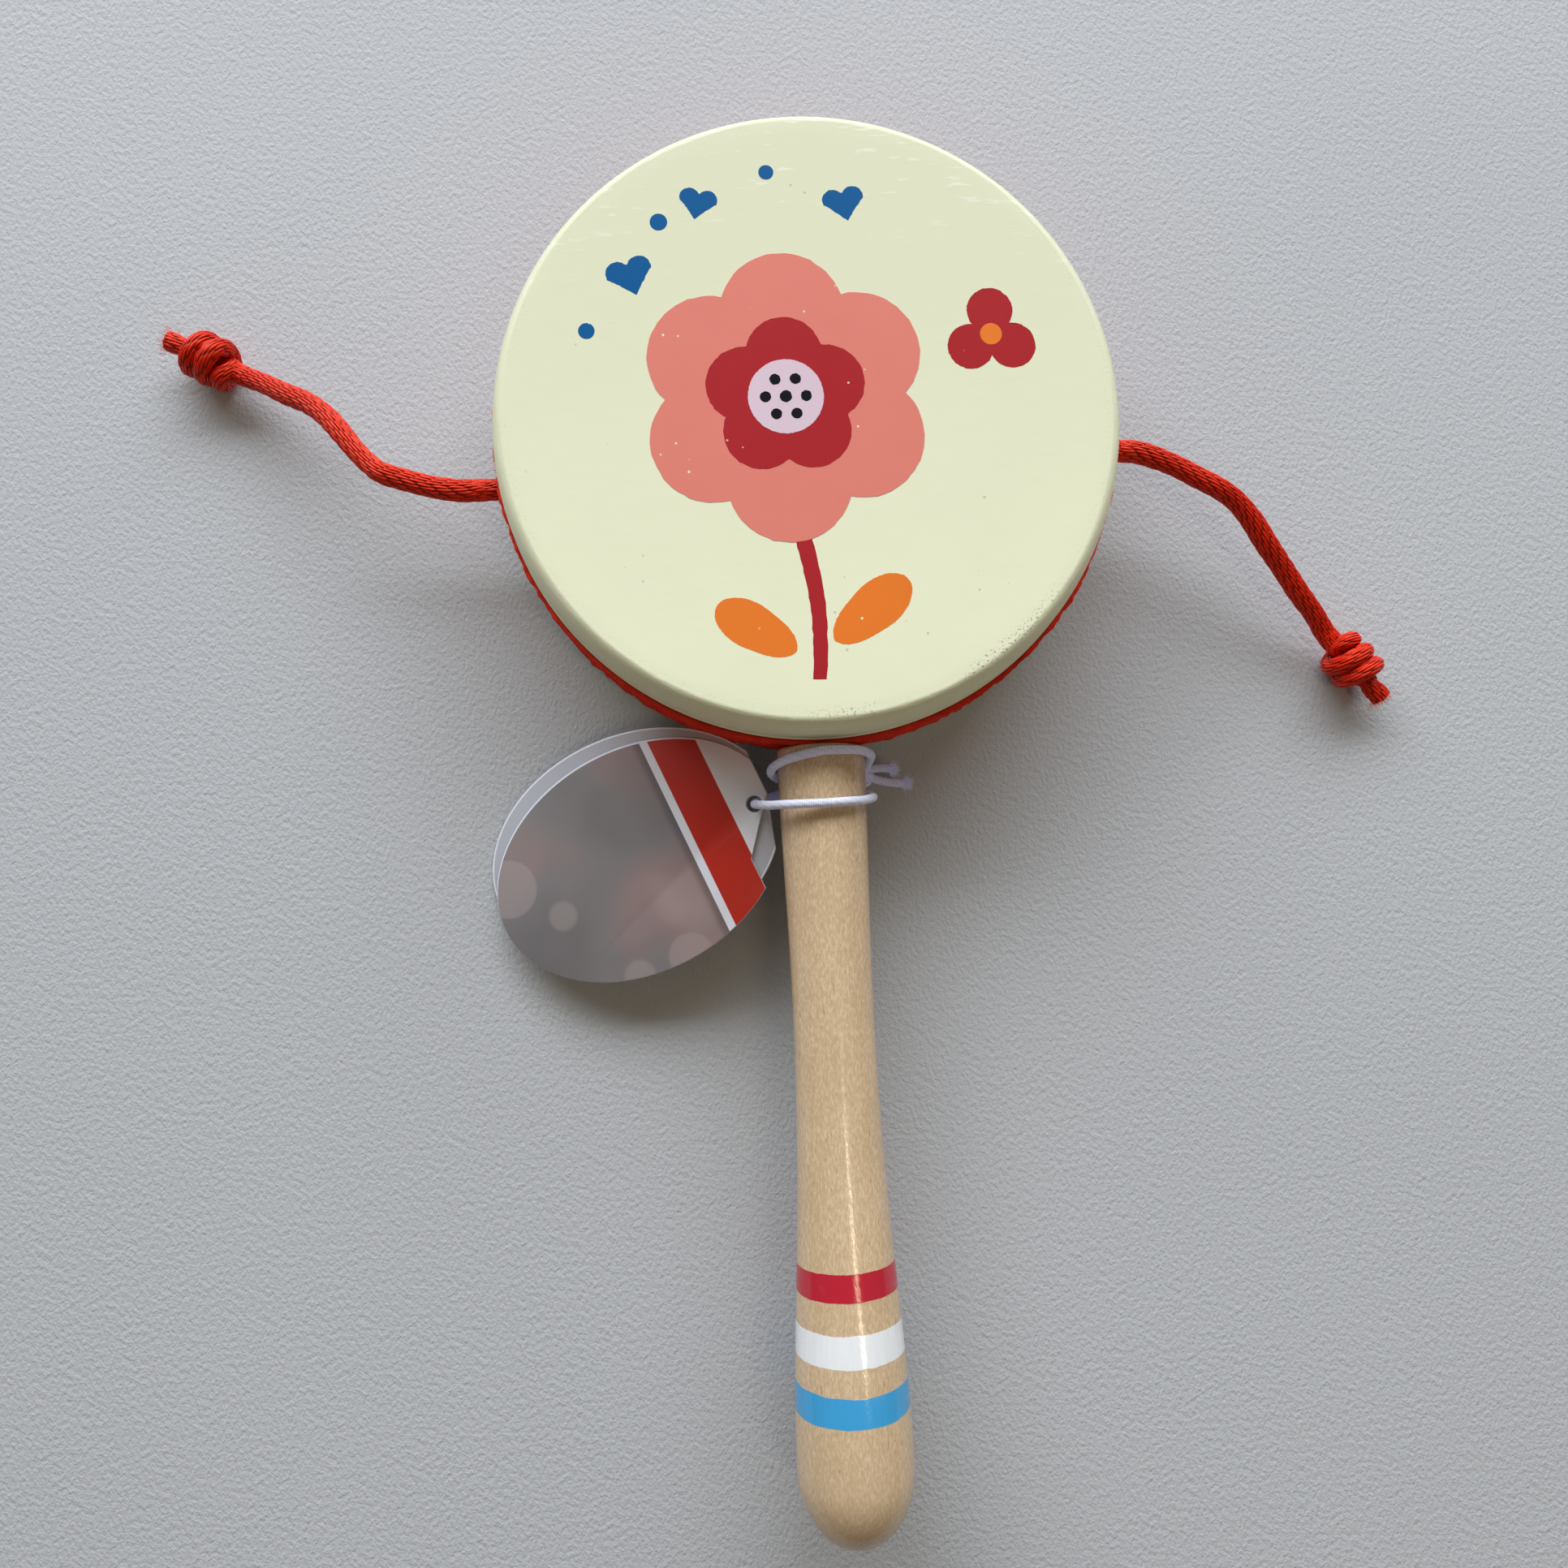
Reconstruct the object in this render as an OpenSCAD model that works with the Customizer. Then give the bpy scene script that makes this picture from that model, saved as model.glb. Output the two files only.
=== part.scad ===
// Pellet drum rattle: a flat wooden drum on a turned handle, with a knotted ball on a cord at each side.
// It lies on its back head. The front head faces +Z, the handle runs along -Y and the cords leave at +X and -X.
// The origin is the centre of the back head's outer face. All lengths are millimetres.

/* [Drum heads] */
// Diameter over the heads
drum_d = 110; // [90:1:140]
// Height of a head's side
head_h = 9.1; // [8:0.1:12]
// Rounding between a head's face and its side
head_round = 5.6; // [3:0.1:6.5]
// Easing of a head's edge beside the felt
head_ease = 0.4; // [0.2:0.1:0.8]
// Thickness of the board that the pellets strike
board_t = 4; // [2.5:0.1:4.8]
// Width of the rim round a head's recess
rim_w = 5; // [3:0.1:8]

/* [Hoop] */
// Width of the hoop between the heads
hoop_w = 11.8; // [11.4:0.1:20]
// Wall of the hoop
hoop_wall = 9.9; // [8:0.1:14]
// Radial gap between a spigot of the hoop and the head round it
spigot_gap = 0.1; // [0.05:0.05:0.3]
// Gap between the end of a spigot and the board
spigot_end_gap = 1.6; // [0.5:0.1:2]

/* [Felt band] */
// Thickness of the felt
felt_t = 2; // [1.2:0.1:3]
// How far the felt stands out past the heads
felt_proud = 0.9; // [0.3:0.1:1.5]
// Gap between each edge of the felt and its head
felt_edge_gap = 0.1; // [0.05:0.05:0.5]

/* [Handle] */
// Length of the handle outside the drum
handle_l = 138; // [110:1:170]
// Diameter where the handle meets the drum
neck_d = 15.8; // [14.8:0.1:17]
// Diameter of the waist below the neck
waist_d = 14.4; // [12:0.1:15]
// Distance from the drum to the waist
waist_at = 46; // [35:1:60]
// Diameter of the grip where it is fullest
grip_d = 20.4; // [17:0.1:26]
// Length of the rounded end
end_l = 13; // [9:0.5:20]
// Rounding of the shoulder beside the drum
shoulder_round = 0.8; // [0.4:0.1:1.5]
// Gap between the shoulder and the felt
shoulder_gap = 0.05; // [0.02:0.01:0.3]
// Diameter of the tenon in the hoop
tenon_d = 10; // [7:0.1:10.4]
// Radial gap round the tenon
tenon_gap = 0.05; // [0.02:0.01:0.2]
// How far the tenon comes through the hoop
tenon_past = 1; // [0:0.5:3]
// Chamfer of the tenon's end
tenon_chamfer = 0.8; // [0.3:0.1:1.5]

/* [Cords] */
// Diameter of the cord
cord_d = 4; // [3:0.1:4.6]
// How far below the drum's middle the left cord leaves
left_exit = 6.4; // [2:0.1:12]
// How far below the drum's middle the right cord leaves
right_exit = 3; // [2:0.1:12]
// Radial gap round a cord in the felt and the hoop
cord_gap = 0.2; // [0.1:0.05:0.5]
// Gap between the felt and the point where a cord bends
bend_gap = 0.3; // [0.2:0.05:0.5]
// Diameter of the stop knot inside the hoop
stop_d = 8; // [7:0.1:10]

/* [Pellets] */
// Diameter of the knotted ball
pellet_d = 10; // [9:0.1:12]
// Turns of cord that show round the ball
pellet_turns = 3; // [2:1:4]
// Distance from one turn to the next
turn_pitch = 3.4; // [3:0.1:3.8]
// Length of the cut end past the ball
tail_l = 3.4; // [1:0.1:6]

/* [Elastic] */
// Diameter of the elastic that ties the hang tag
elastic_d = 1.6; // [1.2:0.1:1.8]
// Gap between the neck and the elastic
elastic_gap = 0.4; // [0.35:0.05:0.6]
// Gap between the felt and the nearest turn
elastic_clear = 0.5; // [0.3:0.05:1]
// Stretch of the neck that the two turns cover
loop_reach = 9.3; // [9:0.1:12]
// Diameter of the knot that closes the elastic
elastic_knot_d = 4.4; // [3.8:0.1:5]
// Length of the longer cut end
long_tail_l = 9; // [5:0.5:14]
// Length of the shorter cut end
short_tail_l = 6; // [4:0.5:10]

/* [Hang tag] */
// Length of the oval card
tag_l = 57.2; // [48:0.2:58]
// Width of the oval card
tag_w = 41.4; // [34:0.2:43]
// Thickness of the card
card_t = 0.4; // [0.3:0.05:0.6]
// Distance from the fold to the end that the oval would have
fold_in = 1.5; // [1:0.1:3]
// Gap between the two leaves at the fold
leaf_gap = 0.3; // [0.2:0.05:0.5]
// Diameter of the eyelet
eyelet_d = 3; // [2.8:0.1:3.6]
// Distance from the fold to the eyelet
eyelet_in = 3; // [2.4:0.1:4]
// How far the eyelet lies below the card's long axis
eyelet_down = 0.8; // [0.4:0.1:2]
// Distance from the fold back to the cut across the front leaf
cut_in = 7.9; // [6:0.1:10]
// How far below the long axis that cut begins
cut_down = 9.4; // [7:0.1:12]
// Angle of the card's long axis to the drum's width
tag_turn = 24; // [18:0.5:26]
// Angle that the front leaf leans down to its far end
tag_lean = 11.6; // [8:0.1:11.8]
// Angle by which the back leaf opens
leaf_spread = 1.1; // [0.8:0.1:1.2]
// Angle by which the back leaf is folded askew
back_turn = 3.5; // [2:0.1:4]
// Angle to the fold of the back leaf's trimmed edge beside the handle
back_trim = 18; // [17:1:35]

/* [Hidden] */

// Round shapes
$fn = 96;
overrun = 1;
arc_steps = 12;
curve_steps = 16;

// Colours, as red, green and blue shares
cream = [0.93, 0.93, 0.8];
maple = [0.84, 0.73, 0.58];
cord_red = [0.82, 0.2, 0.12];
felt_red = [0.7, 0.14, 0.1];
white = [0.93, 0.93, 0.95];

// Drum
drum_r = drum_d / 2;
drum_t = 2 * head_h + hoop_w;
mid_z = drum_t / 2;
recess_r = drum_r - rim_w;
felt_r = drum_r + felt_proud;
hoop_r = felt_r - felt_t;
chamber_r = hoop_r - hoop_wall;
spigot_r = recess_r - spigot_gap;
spigot_l = head_h - board_t - spigot_end_gap;

// Handle, whose curves start and end level with its axis
neck_r = neck_d / 2;
waist_r = waist_d / 2;
grip_r = grip_d / 2;
tenon_r = tenon_d / 2;
grip_at = handle_l - end_l;
shoulder_y = felt_r + shoulder_gap;
tenon_l = shoulder_y - chamber_r + tenon_past;
neck_ease_share = 0.35;
waist_ease_share = 0.5;
grip_ease_share = 0.3;

// Cords: the left and right routes count from the point where each cord bends at the felt. A point is the
// distance out from the drum, the distance along +Y, and the share of the way down from the drum's middle to the
// height where the ball lies. The root is the stiff start, the knee is where the free stretch bends next.
cord_r = cord_d / 2;
cord_sides = 10;
dome_angles = [67.5, 45, 22.5];
pivot_x = felt_r + bend_gap + cord_r;
left_root = [[0, 0, 0], [4, 0, 0], [8, 0.5, 0], [12, 1.5, 0], [15.2, 2.5, 0]];
left_free = [
  [19.2, 4, 0], [21, 5.5, 0.05], [23.5, 8.2, 0.1], [26.8, 12.5, 0.2], [29.5, 15.8, 0.32], [33, 18.9, 0.47],
  [38.8, 22.3, 0.69], [43.8, 25.4, 0.89], [46.9, 27, 1], [48.8, 28, 1]
];
right_root = [[0, 0, 0], [3.5, -0.3, 0], [7.3, -1.6, 0], [11, -3.3, 0], [14.8, -5.5, 0]];
right_free = [
  [18.6, -7.7, 0], [21.7, -9.6, 0.08], [25.1, -12.9, 0.2], [28.6, -17.6, 0.35], [32.2, -21.9, 0.52],
  [35.8, -26.4, 0.69], [39.6, -30.6, 0.87], [42.2, -34.1, 1], [43.5, -35.8, 1]
];

// Pellets
pellet_r = pellet_d / 2;
pellet_l = (pellet_turns - 1) * turn_pitch + cord_d;
stop_turns = 2;
stop_l = (stop_turns - 1) * turn_pitch + cord_d;

// Elastic: two turns round the neck, from the knot behind it, through the eyelet and back to the knot. A row of
// the route is the angle from the knot, the lift off the neck as a share of the elastic's thickness, and the place
// along the neck as a share of the stretch that the turns cover.
elastic_r = elastic_d / 2;
turn_r = neck_r + elastic_gap + elastic_r;
turn_start = felt_r + elastic_clear + elastic_r;
knot_angle = -45;
turn_step = 15;
first_angle = 7.5;
last_angle = 712.5;
eyelet_angle = 125;
lift_shares = [
  [0, 1.45], [45, 1.4], [90, 1.7], [125, 2.1], [165, 1.2], [205, 0.3], [225, 0], [690, 0], [705, 0.5], [720, 1.45]
];
place_shares = [
  [0, 0.36], [45, 0.5], [90, 0.72], [125, 0.9], [165, 0.98], [205, 1], [225, 1], [270, 0.97], [315, 0.87],
  [360, 0.74], [405, 0.6], [450, 0.45], [495, 0.3], [540, 0.14], [585, 0.02], [630, 0.02], [675, 0.1], [720, 0.36]
];
elastic_sides = 6;
long_tail_turn = -14;
short_tail_turn = 6;

// Hang tag, in its own frame: x along its long axis to the fold, y across it, z out of the front leaf
fold_r = leaf_gap / 2;
fold_at = tag_l / 2 - fold_in;
oval_steps = 60;
eyelet_x = fold_at - eyelet_in;
fold_top = oval_y(fold_at);

function oval_y(x) = tag_w / 2 * sqrt(1 - pow(2 * x / tag_l, 2));

function arc_points(centre, r, from, to) = [
  for (i = [0:arc_steps]) let (a = from + (to - from) * i / arc_steps) centre + r * [cos(a), sin(a)]
];

function bezier(a, b, c, d, t) =
  a * pow(1 - t, 3) + 3 * b * t * pow(1 - t, 2) + 3 * c * pow(t, 2) * (1 - t) + d * pow(t, 3);

// A curve from one radius to another along an axis, level at both ends
function eased(r_from, r_to, at_from, at_to, share_from, share_to) = [
  for (i = [0:curve_steps])
    let (t = i / curve_steps, span = at_to - at_from)
      [
        bezier(r_from, r_from, r_to, r_to, t),
        bezier(at_from, at_from + share_from * span, at_to - share_to * span, at_to, t)
      ]
];

function unit(v) = v / norm(v);

function flat(v) = [v[0], v[1], 0];

// Direction of a path at point i
function heading(path, i) =
  i == 0 ? unit(path[1] - path[0])
  : i == len(path) - 1 ? unit(path[i] - path[i - 1])
  : unit(unit(path[i + 1] - path[i]) + unit(path[i] - path[i - 1]));

function ring(centre, along, r, up, sides) =
  let (across = unit(cross(up, along)), rise = cross(along, across))
    [for (k = [0:sides - 1]) let (a = 360 * k / sides) centre + r * (cos(a) * across + sin(a) * rise)];

// Rings of a half ball that closes a tube, in order from its tip to the tube or back
function dome(centre, along, r, up, sides, angles) = [
  for (a = angles) each ring(centre + r * sin(a) * along, along, r * cos(a), up, sides)
];

// Least distance between the middles of rings of a path that lie more than skip rings apart
function least_gap(path, skip) = min([
  for (i = [0:len(path) - 1], j = [0:len(path) - 1]) if (j > i + skip) norm(path[i] - path[j])
]);

// A cord's points: side is 1 on the right and -1 on the left
function cord_points(side, exit_y, route) = [
  for (p = route) [side * (pivot_x + p[0]), p[1] - exit_y, mid_z + p[2] * (pellet_r - mid_z)]
];

function turn_point(a) =
  let (r = turn_r + elastic_d * lookup(a, lift_shares), angle = knot_angle - a)
    [r * cos(angle), -turn_start - loop_reach * lookup(a, place_shares), mid_z + r * sin(angle)];

// A tube along a path, with a half ball at either end where wanted, in triangles
module tube(path, r, sides, up, dome_start = false, dome_end = false) {
  last = len(path) - 1;
  start_dome = dome_start ? dome(path[0], -heading(path, 0), r, -up, sides, dome_angles) : [];
  end_dome = dome_end ? dome(path[last], heading(path, last), r, up, sides, [for (a = [2:-1:0]) dome_angles[a]]) : [];
  body = [for (i = [0:last]) each ring(path[i], heading(path, i), r, up, sides)];
  points = concat(mirrored_rings(start_dome, sides), body, end_dome);
  rings = len(points) / sides;
  base = (rings - 1) * sides;
  polyhedron(
    points,
    concat(
      [for (k = [1:sides - 2]) [0, k, k + 1]],
      [
        for (i = [0:rings - 2], k = [0:sides - 1])
          let (a = i * sides + k, b = i * sides + (k + 1) % sides) each [[a, a + sides, b + sides], [a, b + sides, b]]
      ],
      [for (k = [1:sides - 2]) [base, base + k + 1, base + k]]
    )
  );
}

// The rings of a dome that was made facing backwards, with each ring's points in the tube's own order
function mirrored_rings(points, sides) = [
  for (i = [0:1:len(points) / sides - 1], k = [0:sides - 1]) points[i * sides + (sides + sides / 2 - k) % sides]
];

// Sets its children at a point, with their z axis along a direction
module aim(at, along) {
  translate(at) rotate([0, acos(along[2] / norm(along)), atan2(along[1], along[0])]) children();
}

// Turns of cord tied round the cord itself, from z = 0 up, with a straight piece of cord at each end
module knotted_ball(d, turns, l, before, after) {
  rotate_extrude() {
    for (i = [0:turns - 1])
      translate([d / 2 - cord_r, cord_r + i * turn_pitch])
        intersection() {
          circle(r = cord_r);
          translate([cord_r - d / 2, -cord_r]) square([d, cord_d]);
        }
    square([d / 2 - cord_r / 2, l - cord_r]);
    translate([0, -before]) square([cord_r, l + before + after]);
  }
}

// A head with its face at z = 0 and its recess above
module head() {
  rotate_extrude()
    polygon(concat(
      [[0, 0]],
      arc_points([drum_r - head_round, head_round], head_round, -90, 0),
      [
        [drum_r, head_h - head_ease], [drum_r - head_ease, head_h], [recess_r, head_h], [recess_r, board_t],
        [0, board_t]
      ]
    ));
}

// A round hole through the hoop and felt, along X at a cord or along -Y at the tenon
module cord_hole(side, exit_y) {
  translate([0, -exit_y, mid_z]) rotate([0, side * 90, 0]) cylinder(h = felt_r + overrun, r = cord_r + cord_gap);
}

module tenon_hole() {
  translate([0, 0, mid_z]) rotate([90, 0, 0]) cylinder(h = felt_r + overrun, r = tenon_r + tenon_gap);
}

module holes() {
  cord_hole(-1, left_exit);
  cord_hole(1, right_exit);
  tenon_hole();
}

module front_head() {
  color(cream) translate([0, 0, drum_t]) rotate([180, 0, 0]) head();
}

module back_head() {
  color(cream) head();
}

module shell_hoop() {
  low = head_h;
  high = head_h + hoop_w;
  color(maple)
    difference() {
      rotate_extrude()
        polygon([
          [chamber_r, low - spigot_l], [spigot_r, low - spigot_l], [spigot_r, low], [hoop_r, low],
          [hoop_r, high], [spigot_r, high], [spigot_r, high + spigot_l], [chamber_r, high + spigot_l]
        ]);
      holes();
    }
}

module felt_band() {
  color(felt_red)
    difference() {
      translate([0, 0, head_h + felt_edge_gap])
        rotate_extrude() translate([hoop_r, 0]) square([felt_t, hoop_w - 2 * felt_edge_gap]);
      holes();
    }
}

module handle() {
  color(maple)
    translate([0, -shoulder_y, mid_z])
      rotate([90, 0, 0])
        rotate_extrude()
          polygon(concat(
            [
              [0, -tenon_l], [tenon_r - tenon_chamfer, -tenon_l], [tenon_r, tenon_chamfer - tenon_l], [tenon_r, 0]
            ],
            arc_points([neck_r - shoulder_round, shoulder_round], shoulder_round, -90, 0),
            eased(neck_r, waist_r, 2 * shoulder_round, waist_at, neck_ease_share, neck_ease_share),
            [for (p = eased(waist_r, grip_r, waist_at, grip_at, waist_ease_share, grip_ease_share)) if (p[1] > waist_at) p],
            [for (i = [1:arc_steps]) let (a = 90 * i / arc_steps) [grip_r * cos(a), grip_at + end_l * sin(a)]]
          ));
}

// The stretch of cord in its hole, with the stop knot's edge against the hoop's inner wall
module cord_anchor(side, exit_y) {
  wall_x = sqrt(pow(chamber_r, 2) - pow(exit_y + stop_d / 2, 2));
  color(cord_red)
    translate([side * (wall_x - stop_l), -exit_y, mid_z])
      rotate([0, side * 90, 0])
        knotted_ball(stop_d, stop_turns, stop_l, tail_l, felt_r - wall_x);
}

module cord_anchor_left() {
  cord_anchor(-1, left_exit);
}

module cord_anchor_right() {
  cord_anchor(1, right_exit);
}

module cord_root(side, exit_y, route) {
  color(cord_red) tube(cord_points(side, exit_y, route), cord_r, cord_sides, [0, 0, 1], true, true);
}

module cord_root_left() {
  cord_root(-1, left_exit, left_root);
}

module cord_root_right() {
  cord_root(1, right_exit, right_root);
}

module free_cord(side, exit_y, route) {
  color(cord_red) tube(cord_points(side, exit_y, route), cord_r, cord_sides, [0, 0, 1], true, false);
}

module cord_left() {
  free_cord(-1, left_exit, left_free);
}

module cord_right() {
  free_cord(1, right_exit, right_free);
}

module pellet(side, exit_y, route) {
  path = cord_points(side, exit_y, route);
  last = len(path) - 1;
  color(cord_red)
    aim(path[last], flat(path[last] - path[last - 1]))
      knotted_ball(pellet_d, pellet_turns, pellet_l, 0, tail_l);
}

module pellet_left() {
  pellet(-1, left_exit, left_free);
}

module pellet_right() {
  pellet(1, right_exit, right_free);
}

module tag_elastic() {
  path = [for (a = [first_angle:turn_step:last_angle]) turn_point(a)];
  knot = turn_point(0);
  echo(elastic_least_gap = least_gap(path, 4) - elastic_d);
  color(white) {
    tube(path, elastic_r, elastic_sides, [0, 1, 0]);
    translate(knot) sphere(d = elastic_knot_d);
    translate(knot) rotate([0, 90, long_tail_turn]) cylinder(h = long_tail_l, r = elastic_r);
    translate(knot) rotate([0, 90, short_tail_turn]) cylinder(h = short_tail_l, r = elastic_r);
  }
}

module oval() {
  polygon([for (i = [0:oval_steps - 1]) let (a = 360 * i / oval_steps) [tag_l / 2 * cos(a), tag_w / 2 * sin(a)]]);
}

// The outline of a leaf: its first child up to the fold, without the eyelet and its second child
module leaf() {
  difference() {
    intersection() {
      children(0);
      translate([-tag_l, -tag_w]) square([tag_l + fold_at, 2 * tag_w]);
    }
    translate([eyelet_x, -eyelet_down]) circle(d = eyelet_d);
    children(1);
  }
}

module front_leaf() {
  leaf() {
    oval();
    front_cut();
  }
}

module back_leaf() {
  leaf() {
    translate([fold_at, 0]) rotate(-back_turn) translate([-fold_at, 0]) oval();
    back_cut();
  }
}

// What is cut away below the fold so that the back leaf shows
module front_cut() {
  cut_x = fold_at - cut_in;
  polygon([[cut_x, -tag_w], [cut_x, -cut_down], [fold_at, 0], [tag_l, 0], [tag_l, -tag_w]]);
}

// What is cut away below the fold so that the back leaf clears the handle
module back_cut() {
  polygon([[fold_at - tag_w * tan(back_trim), -tag_w], [fold_at, 0], [tag_l, 0], [tag_l, -tag_w]]);
}

module fold() {
  translate([fold_at, fold_top, 0])
    rotate([90, 0, 0])
      linear_extrude(height = fold_top)
        difference() {
          circle(r = fold_r + card_t);
          circle(r = fold_r);
          translate([-card_t - overrun, -overrun]) square([card_t + overrun, 2 * overrun]);
        }
}

module hang_tag() {
  color(white)
    translate(turn_point(eyelet_angle))
      rotate([0, -tag_lean, 0])
        rotate([0, 0, tag_turn])
          translate([-eyelet_x, eyelet_down, 0]) {
            translate([0, 0, fold_r]) linear_extrude(height = card_t) front_leaf();
            fold();
            translate([fold_at, 0, 0])
              rotate([0, -leaf_spread, 0])
                translate([-fold_at, 0, -fold_r - card_t])
                  linear_extrude(height = card_t) back_leaf();
          }
}

front_head();
back_head();
shell_hoop();
felt_band();
handle();
cord_anchor_left();
cord_anchor_right();
cord_root_left();
cord_root_right();
cord_left();
cord_right();
pellet_left();
pellet_right();
tag_elastic();
hang_tag();
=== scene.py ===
"""A pellet drum rattle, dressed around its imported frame: a wooden drum on a turned handle, a knotted cord
at each side and a folded hang tag on an elastic. All places are metres in the frame's own axes."""

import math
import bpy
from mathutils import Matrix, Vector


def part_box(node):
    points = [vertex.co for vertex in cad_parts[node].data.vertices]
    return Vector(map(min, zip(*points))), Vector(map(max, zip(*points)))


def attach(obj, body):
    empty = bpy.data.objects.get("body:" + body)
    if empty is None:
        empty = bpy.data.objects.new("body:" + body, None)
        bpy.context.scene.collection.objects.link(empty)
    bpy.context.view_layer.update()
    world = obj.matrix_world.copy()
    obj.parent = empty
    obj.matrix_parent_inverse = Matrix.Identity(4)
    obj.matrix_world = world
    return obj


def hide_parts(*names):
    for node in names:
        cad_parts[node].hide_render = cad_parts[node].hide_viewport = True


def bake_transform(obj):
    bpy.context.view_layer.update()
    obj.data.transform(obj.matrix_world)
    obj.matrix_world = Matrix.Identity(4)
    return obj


bl_info = {
    "name": "Pellet drum rattle",
    "version": (1, 0, 0),
    "blender": (4, 5, 0),
    "location": "3D View > Sidebar > Rattle",
    "description": "Builds the pieces, finishes and stage of a pellet drum rattle",
    "category": "Object",
}

import bmesh
import bpy
import numpy as np
from mathutils import Matrix, Vector

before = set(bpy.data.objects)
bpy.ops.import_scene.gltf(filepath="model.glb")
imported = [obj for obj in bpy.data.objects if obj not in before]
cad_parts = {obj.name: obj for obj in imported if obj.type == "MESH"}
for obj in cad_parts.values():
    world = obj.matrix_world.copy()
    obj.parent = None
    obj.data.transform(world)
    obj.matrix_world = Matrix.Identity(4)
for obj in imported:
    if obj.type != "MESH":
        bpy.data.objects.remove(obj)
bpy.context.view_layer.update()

MM = 0.001
DEG = math.pi / 180
TURN = 2 * math.pi


def span(node, axis):
    """How far a node reaches along one axis."""
    low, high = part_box(node)
    return high[axis] - low[axis]


def srgb(red, green, blue):
    """A colour as a shader takes it, from the numbers 0 to 255 of a screen colour."""
    shares = [c / 255 for c in (red, green, blue)]
    return tuple(c / 12.92 if c <= 0.04045 else ((c + 0.055) / 1.055) ** 2.4 for c in shares)


def length_setting(name, description, default):
    return bpy.props.FloatProperty(
        name=name, description=description, default=default,
        min=0.0, precision=5, subtype="DISTANCE", unit="LENGTH",
    )


def colour_setting(name, description, default):
    return bpy.props.FloatVectorProperty(
        name=name, description=description, default=default, min=0.0, max=1.0, size=3, subtype="COLOR"
    )


class RattleDrum(bpy.types.PropertyGroup):
    width: length_setting("Drum width", "Diameter over the heads", 110 * MM)
    head_height: length_setting("Head height", "Height of a head's side", span("front_head", 2))
    rounding: length_setting("Rounding", "How far the rounding reaches in over a head's face", 3.1 * MM)
    crest: length_setting("Crest", "Radius where a head's face turns down into the rounding", 2.1 * MM)
    fall: length_setting("Fall", "How far the rounding reaches down a head's side", 6.2 * MM)
    board: length_setting("Board", "Thickness of the board that the pellets strike", 4 * MM)
    rim: length_setting("Rim", "Width of the rim round a head's recess", 5 * MM)
    felt: length_setting("Felt", "Thickness of the felt", 2 * MM)
    lacquer: colour_setting("Lacquer", "Colour of both heads", srgb(238, 239, 208))
    felt_colour: colour_setting("Felt colour", "Colour of the band", srgb(234, 54, 34))


class RattleHandle(bpy.types.PropertyGroup):
    length: length_setting("Length", "Length outside the drum", 138 * MM)
    neck: length_setting("Neck", "Diameter beside the drum", 15.8 * MM)
    waist: length_setting("Waist", "Diameter at the slimmest place", 14.4 * MM)
    waist_at: length_setting("Waist at", "Distance from the drum to the waist", 46 * MM)
    grip: length_setting("Grip", "Diameter at the fullest place", 20.4 * MM)
    end: length_setting("End", "Length of the rounded end", 13 * MM)
    wood: colour_setting("Wood", "Colour of the varnished maple", srgb(227, 197, 160))
    upper_stripe: colour_setting("Upper stripe", "Colour of the stripe nearest the drum", srgb(196, 36, 56))
    middle_stripe: colour_setting("Middle stripe", "Colour of the middle stripe", srgb(246, 248, 255))
    lower_stripe: colour_setting("Lower stripe", "Colour of the stripe nearest the end", srgb(66, 168, 226))


class RattleCords(bpy.types.PropertyGroup):
    width: length_setting("Cord width", "Diameter of the satin cord", 4 * MM)
    ball: length_setting("Ball", "Diameter of the knotted ball", 10 * MM)
    ball_length: length_setting("Ball length", "Length of the knotted ball along the cord", 10.8 * MM)
    tail: length_setting("Tail", "Length of cord past the ball", 3.4 * MM)
    stop_knot: length_setting("Stop knot", "Diameter of the knot inside the drum", 8 * MM)
    satin: colour_setting("Satin", "Colour of the cord", srgb(232, 36, 12))


class RattleTag(bpy.types.PropertyGroup):
    length: length_setting("Tag length", "Length of the oval card", 57.2 * MM)
    width: length_setting("Tag width", "Width of the oval card", 41.4 * MM)
    card: length_setting("Card", "Thickness of the card", 0.4 * MM)
    elastic: length_setting("Elastic", "Diameter of the elastic", 1.6 * MM)
    knot: length_setting("Elastic knot", "Diameter of the knot in the elastic", 4.4 * MM)
    paper: colour_setting("Paper", "Colour of the bare card", srgb(232, 234, 246))
    band: colour_setting("Band", "Colour of the printed band", srgb(190, 38, 24))


# Finishes


class Value:
    """One output of a finish's nodes. Arithmetic on it adds the Math nodes that work it out."""

    def __init__(self, finish, socket):
        self.finish = finish
        self.socket = socket

    def math(self, operation, *others, first=None):
        values = [self, *others] if first is None else [first, self, *others]
        return self.finish.node("ShaderNodeMath", {"operation": operation}, values)

    def __add__(self, other):
        return self.math("ADD", other)

    __radd__ = __add__

    def __sub__(self, other):
        return self.math("SUBTRACT", other)

    def __rsub__(self, other):
        return self.math("SUBTRACT", first=other)

    def __mul__(self, other):
        return self.math("MULTIPLY", other)

    __rmul__ = __mul__

    def __truediv__(self, other):
        return self.math("DIVIDE", other)

    def __rtruediv__(self, other):
        return self.math("DIVIDE", first=other)

    def __pow__(self, other):
        return self.math("POWER", other)

    def above(self, edge, softness):
        """0 below the edge and 1 above it, with a soft step between."""
        return self.finish.node(
            "ShaderNodeMapRange",
            {"interpolation_type": "SMOOTHSTEP"},
            {"Value": self, "From Min": edge - softness / 2, "From Max": edge + softness / 2},
        )

    def between(self, low, high, softness):
        return self.above(low, softness) * (1 - self.above(high, softness))


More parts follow.
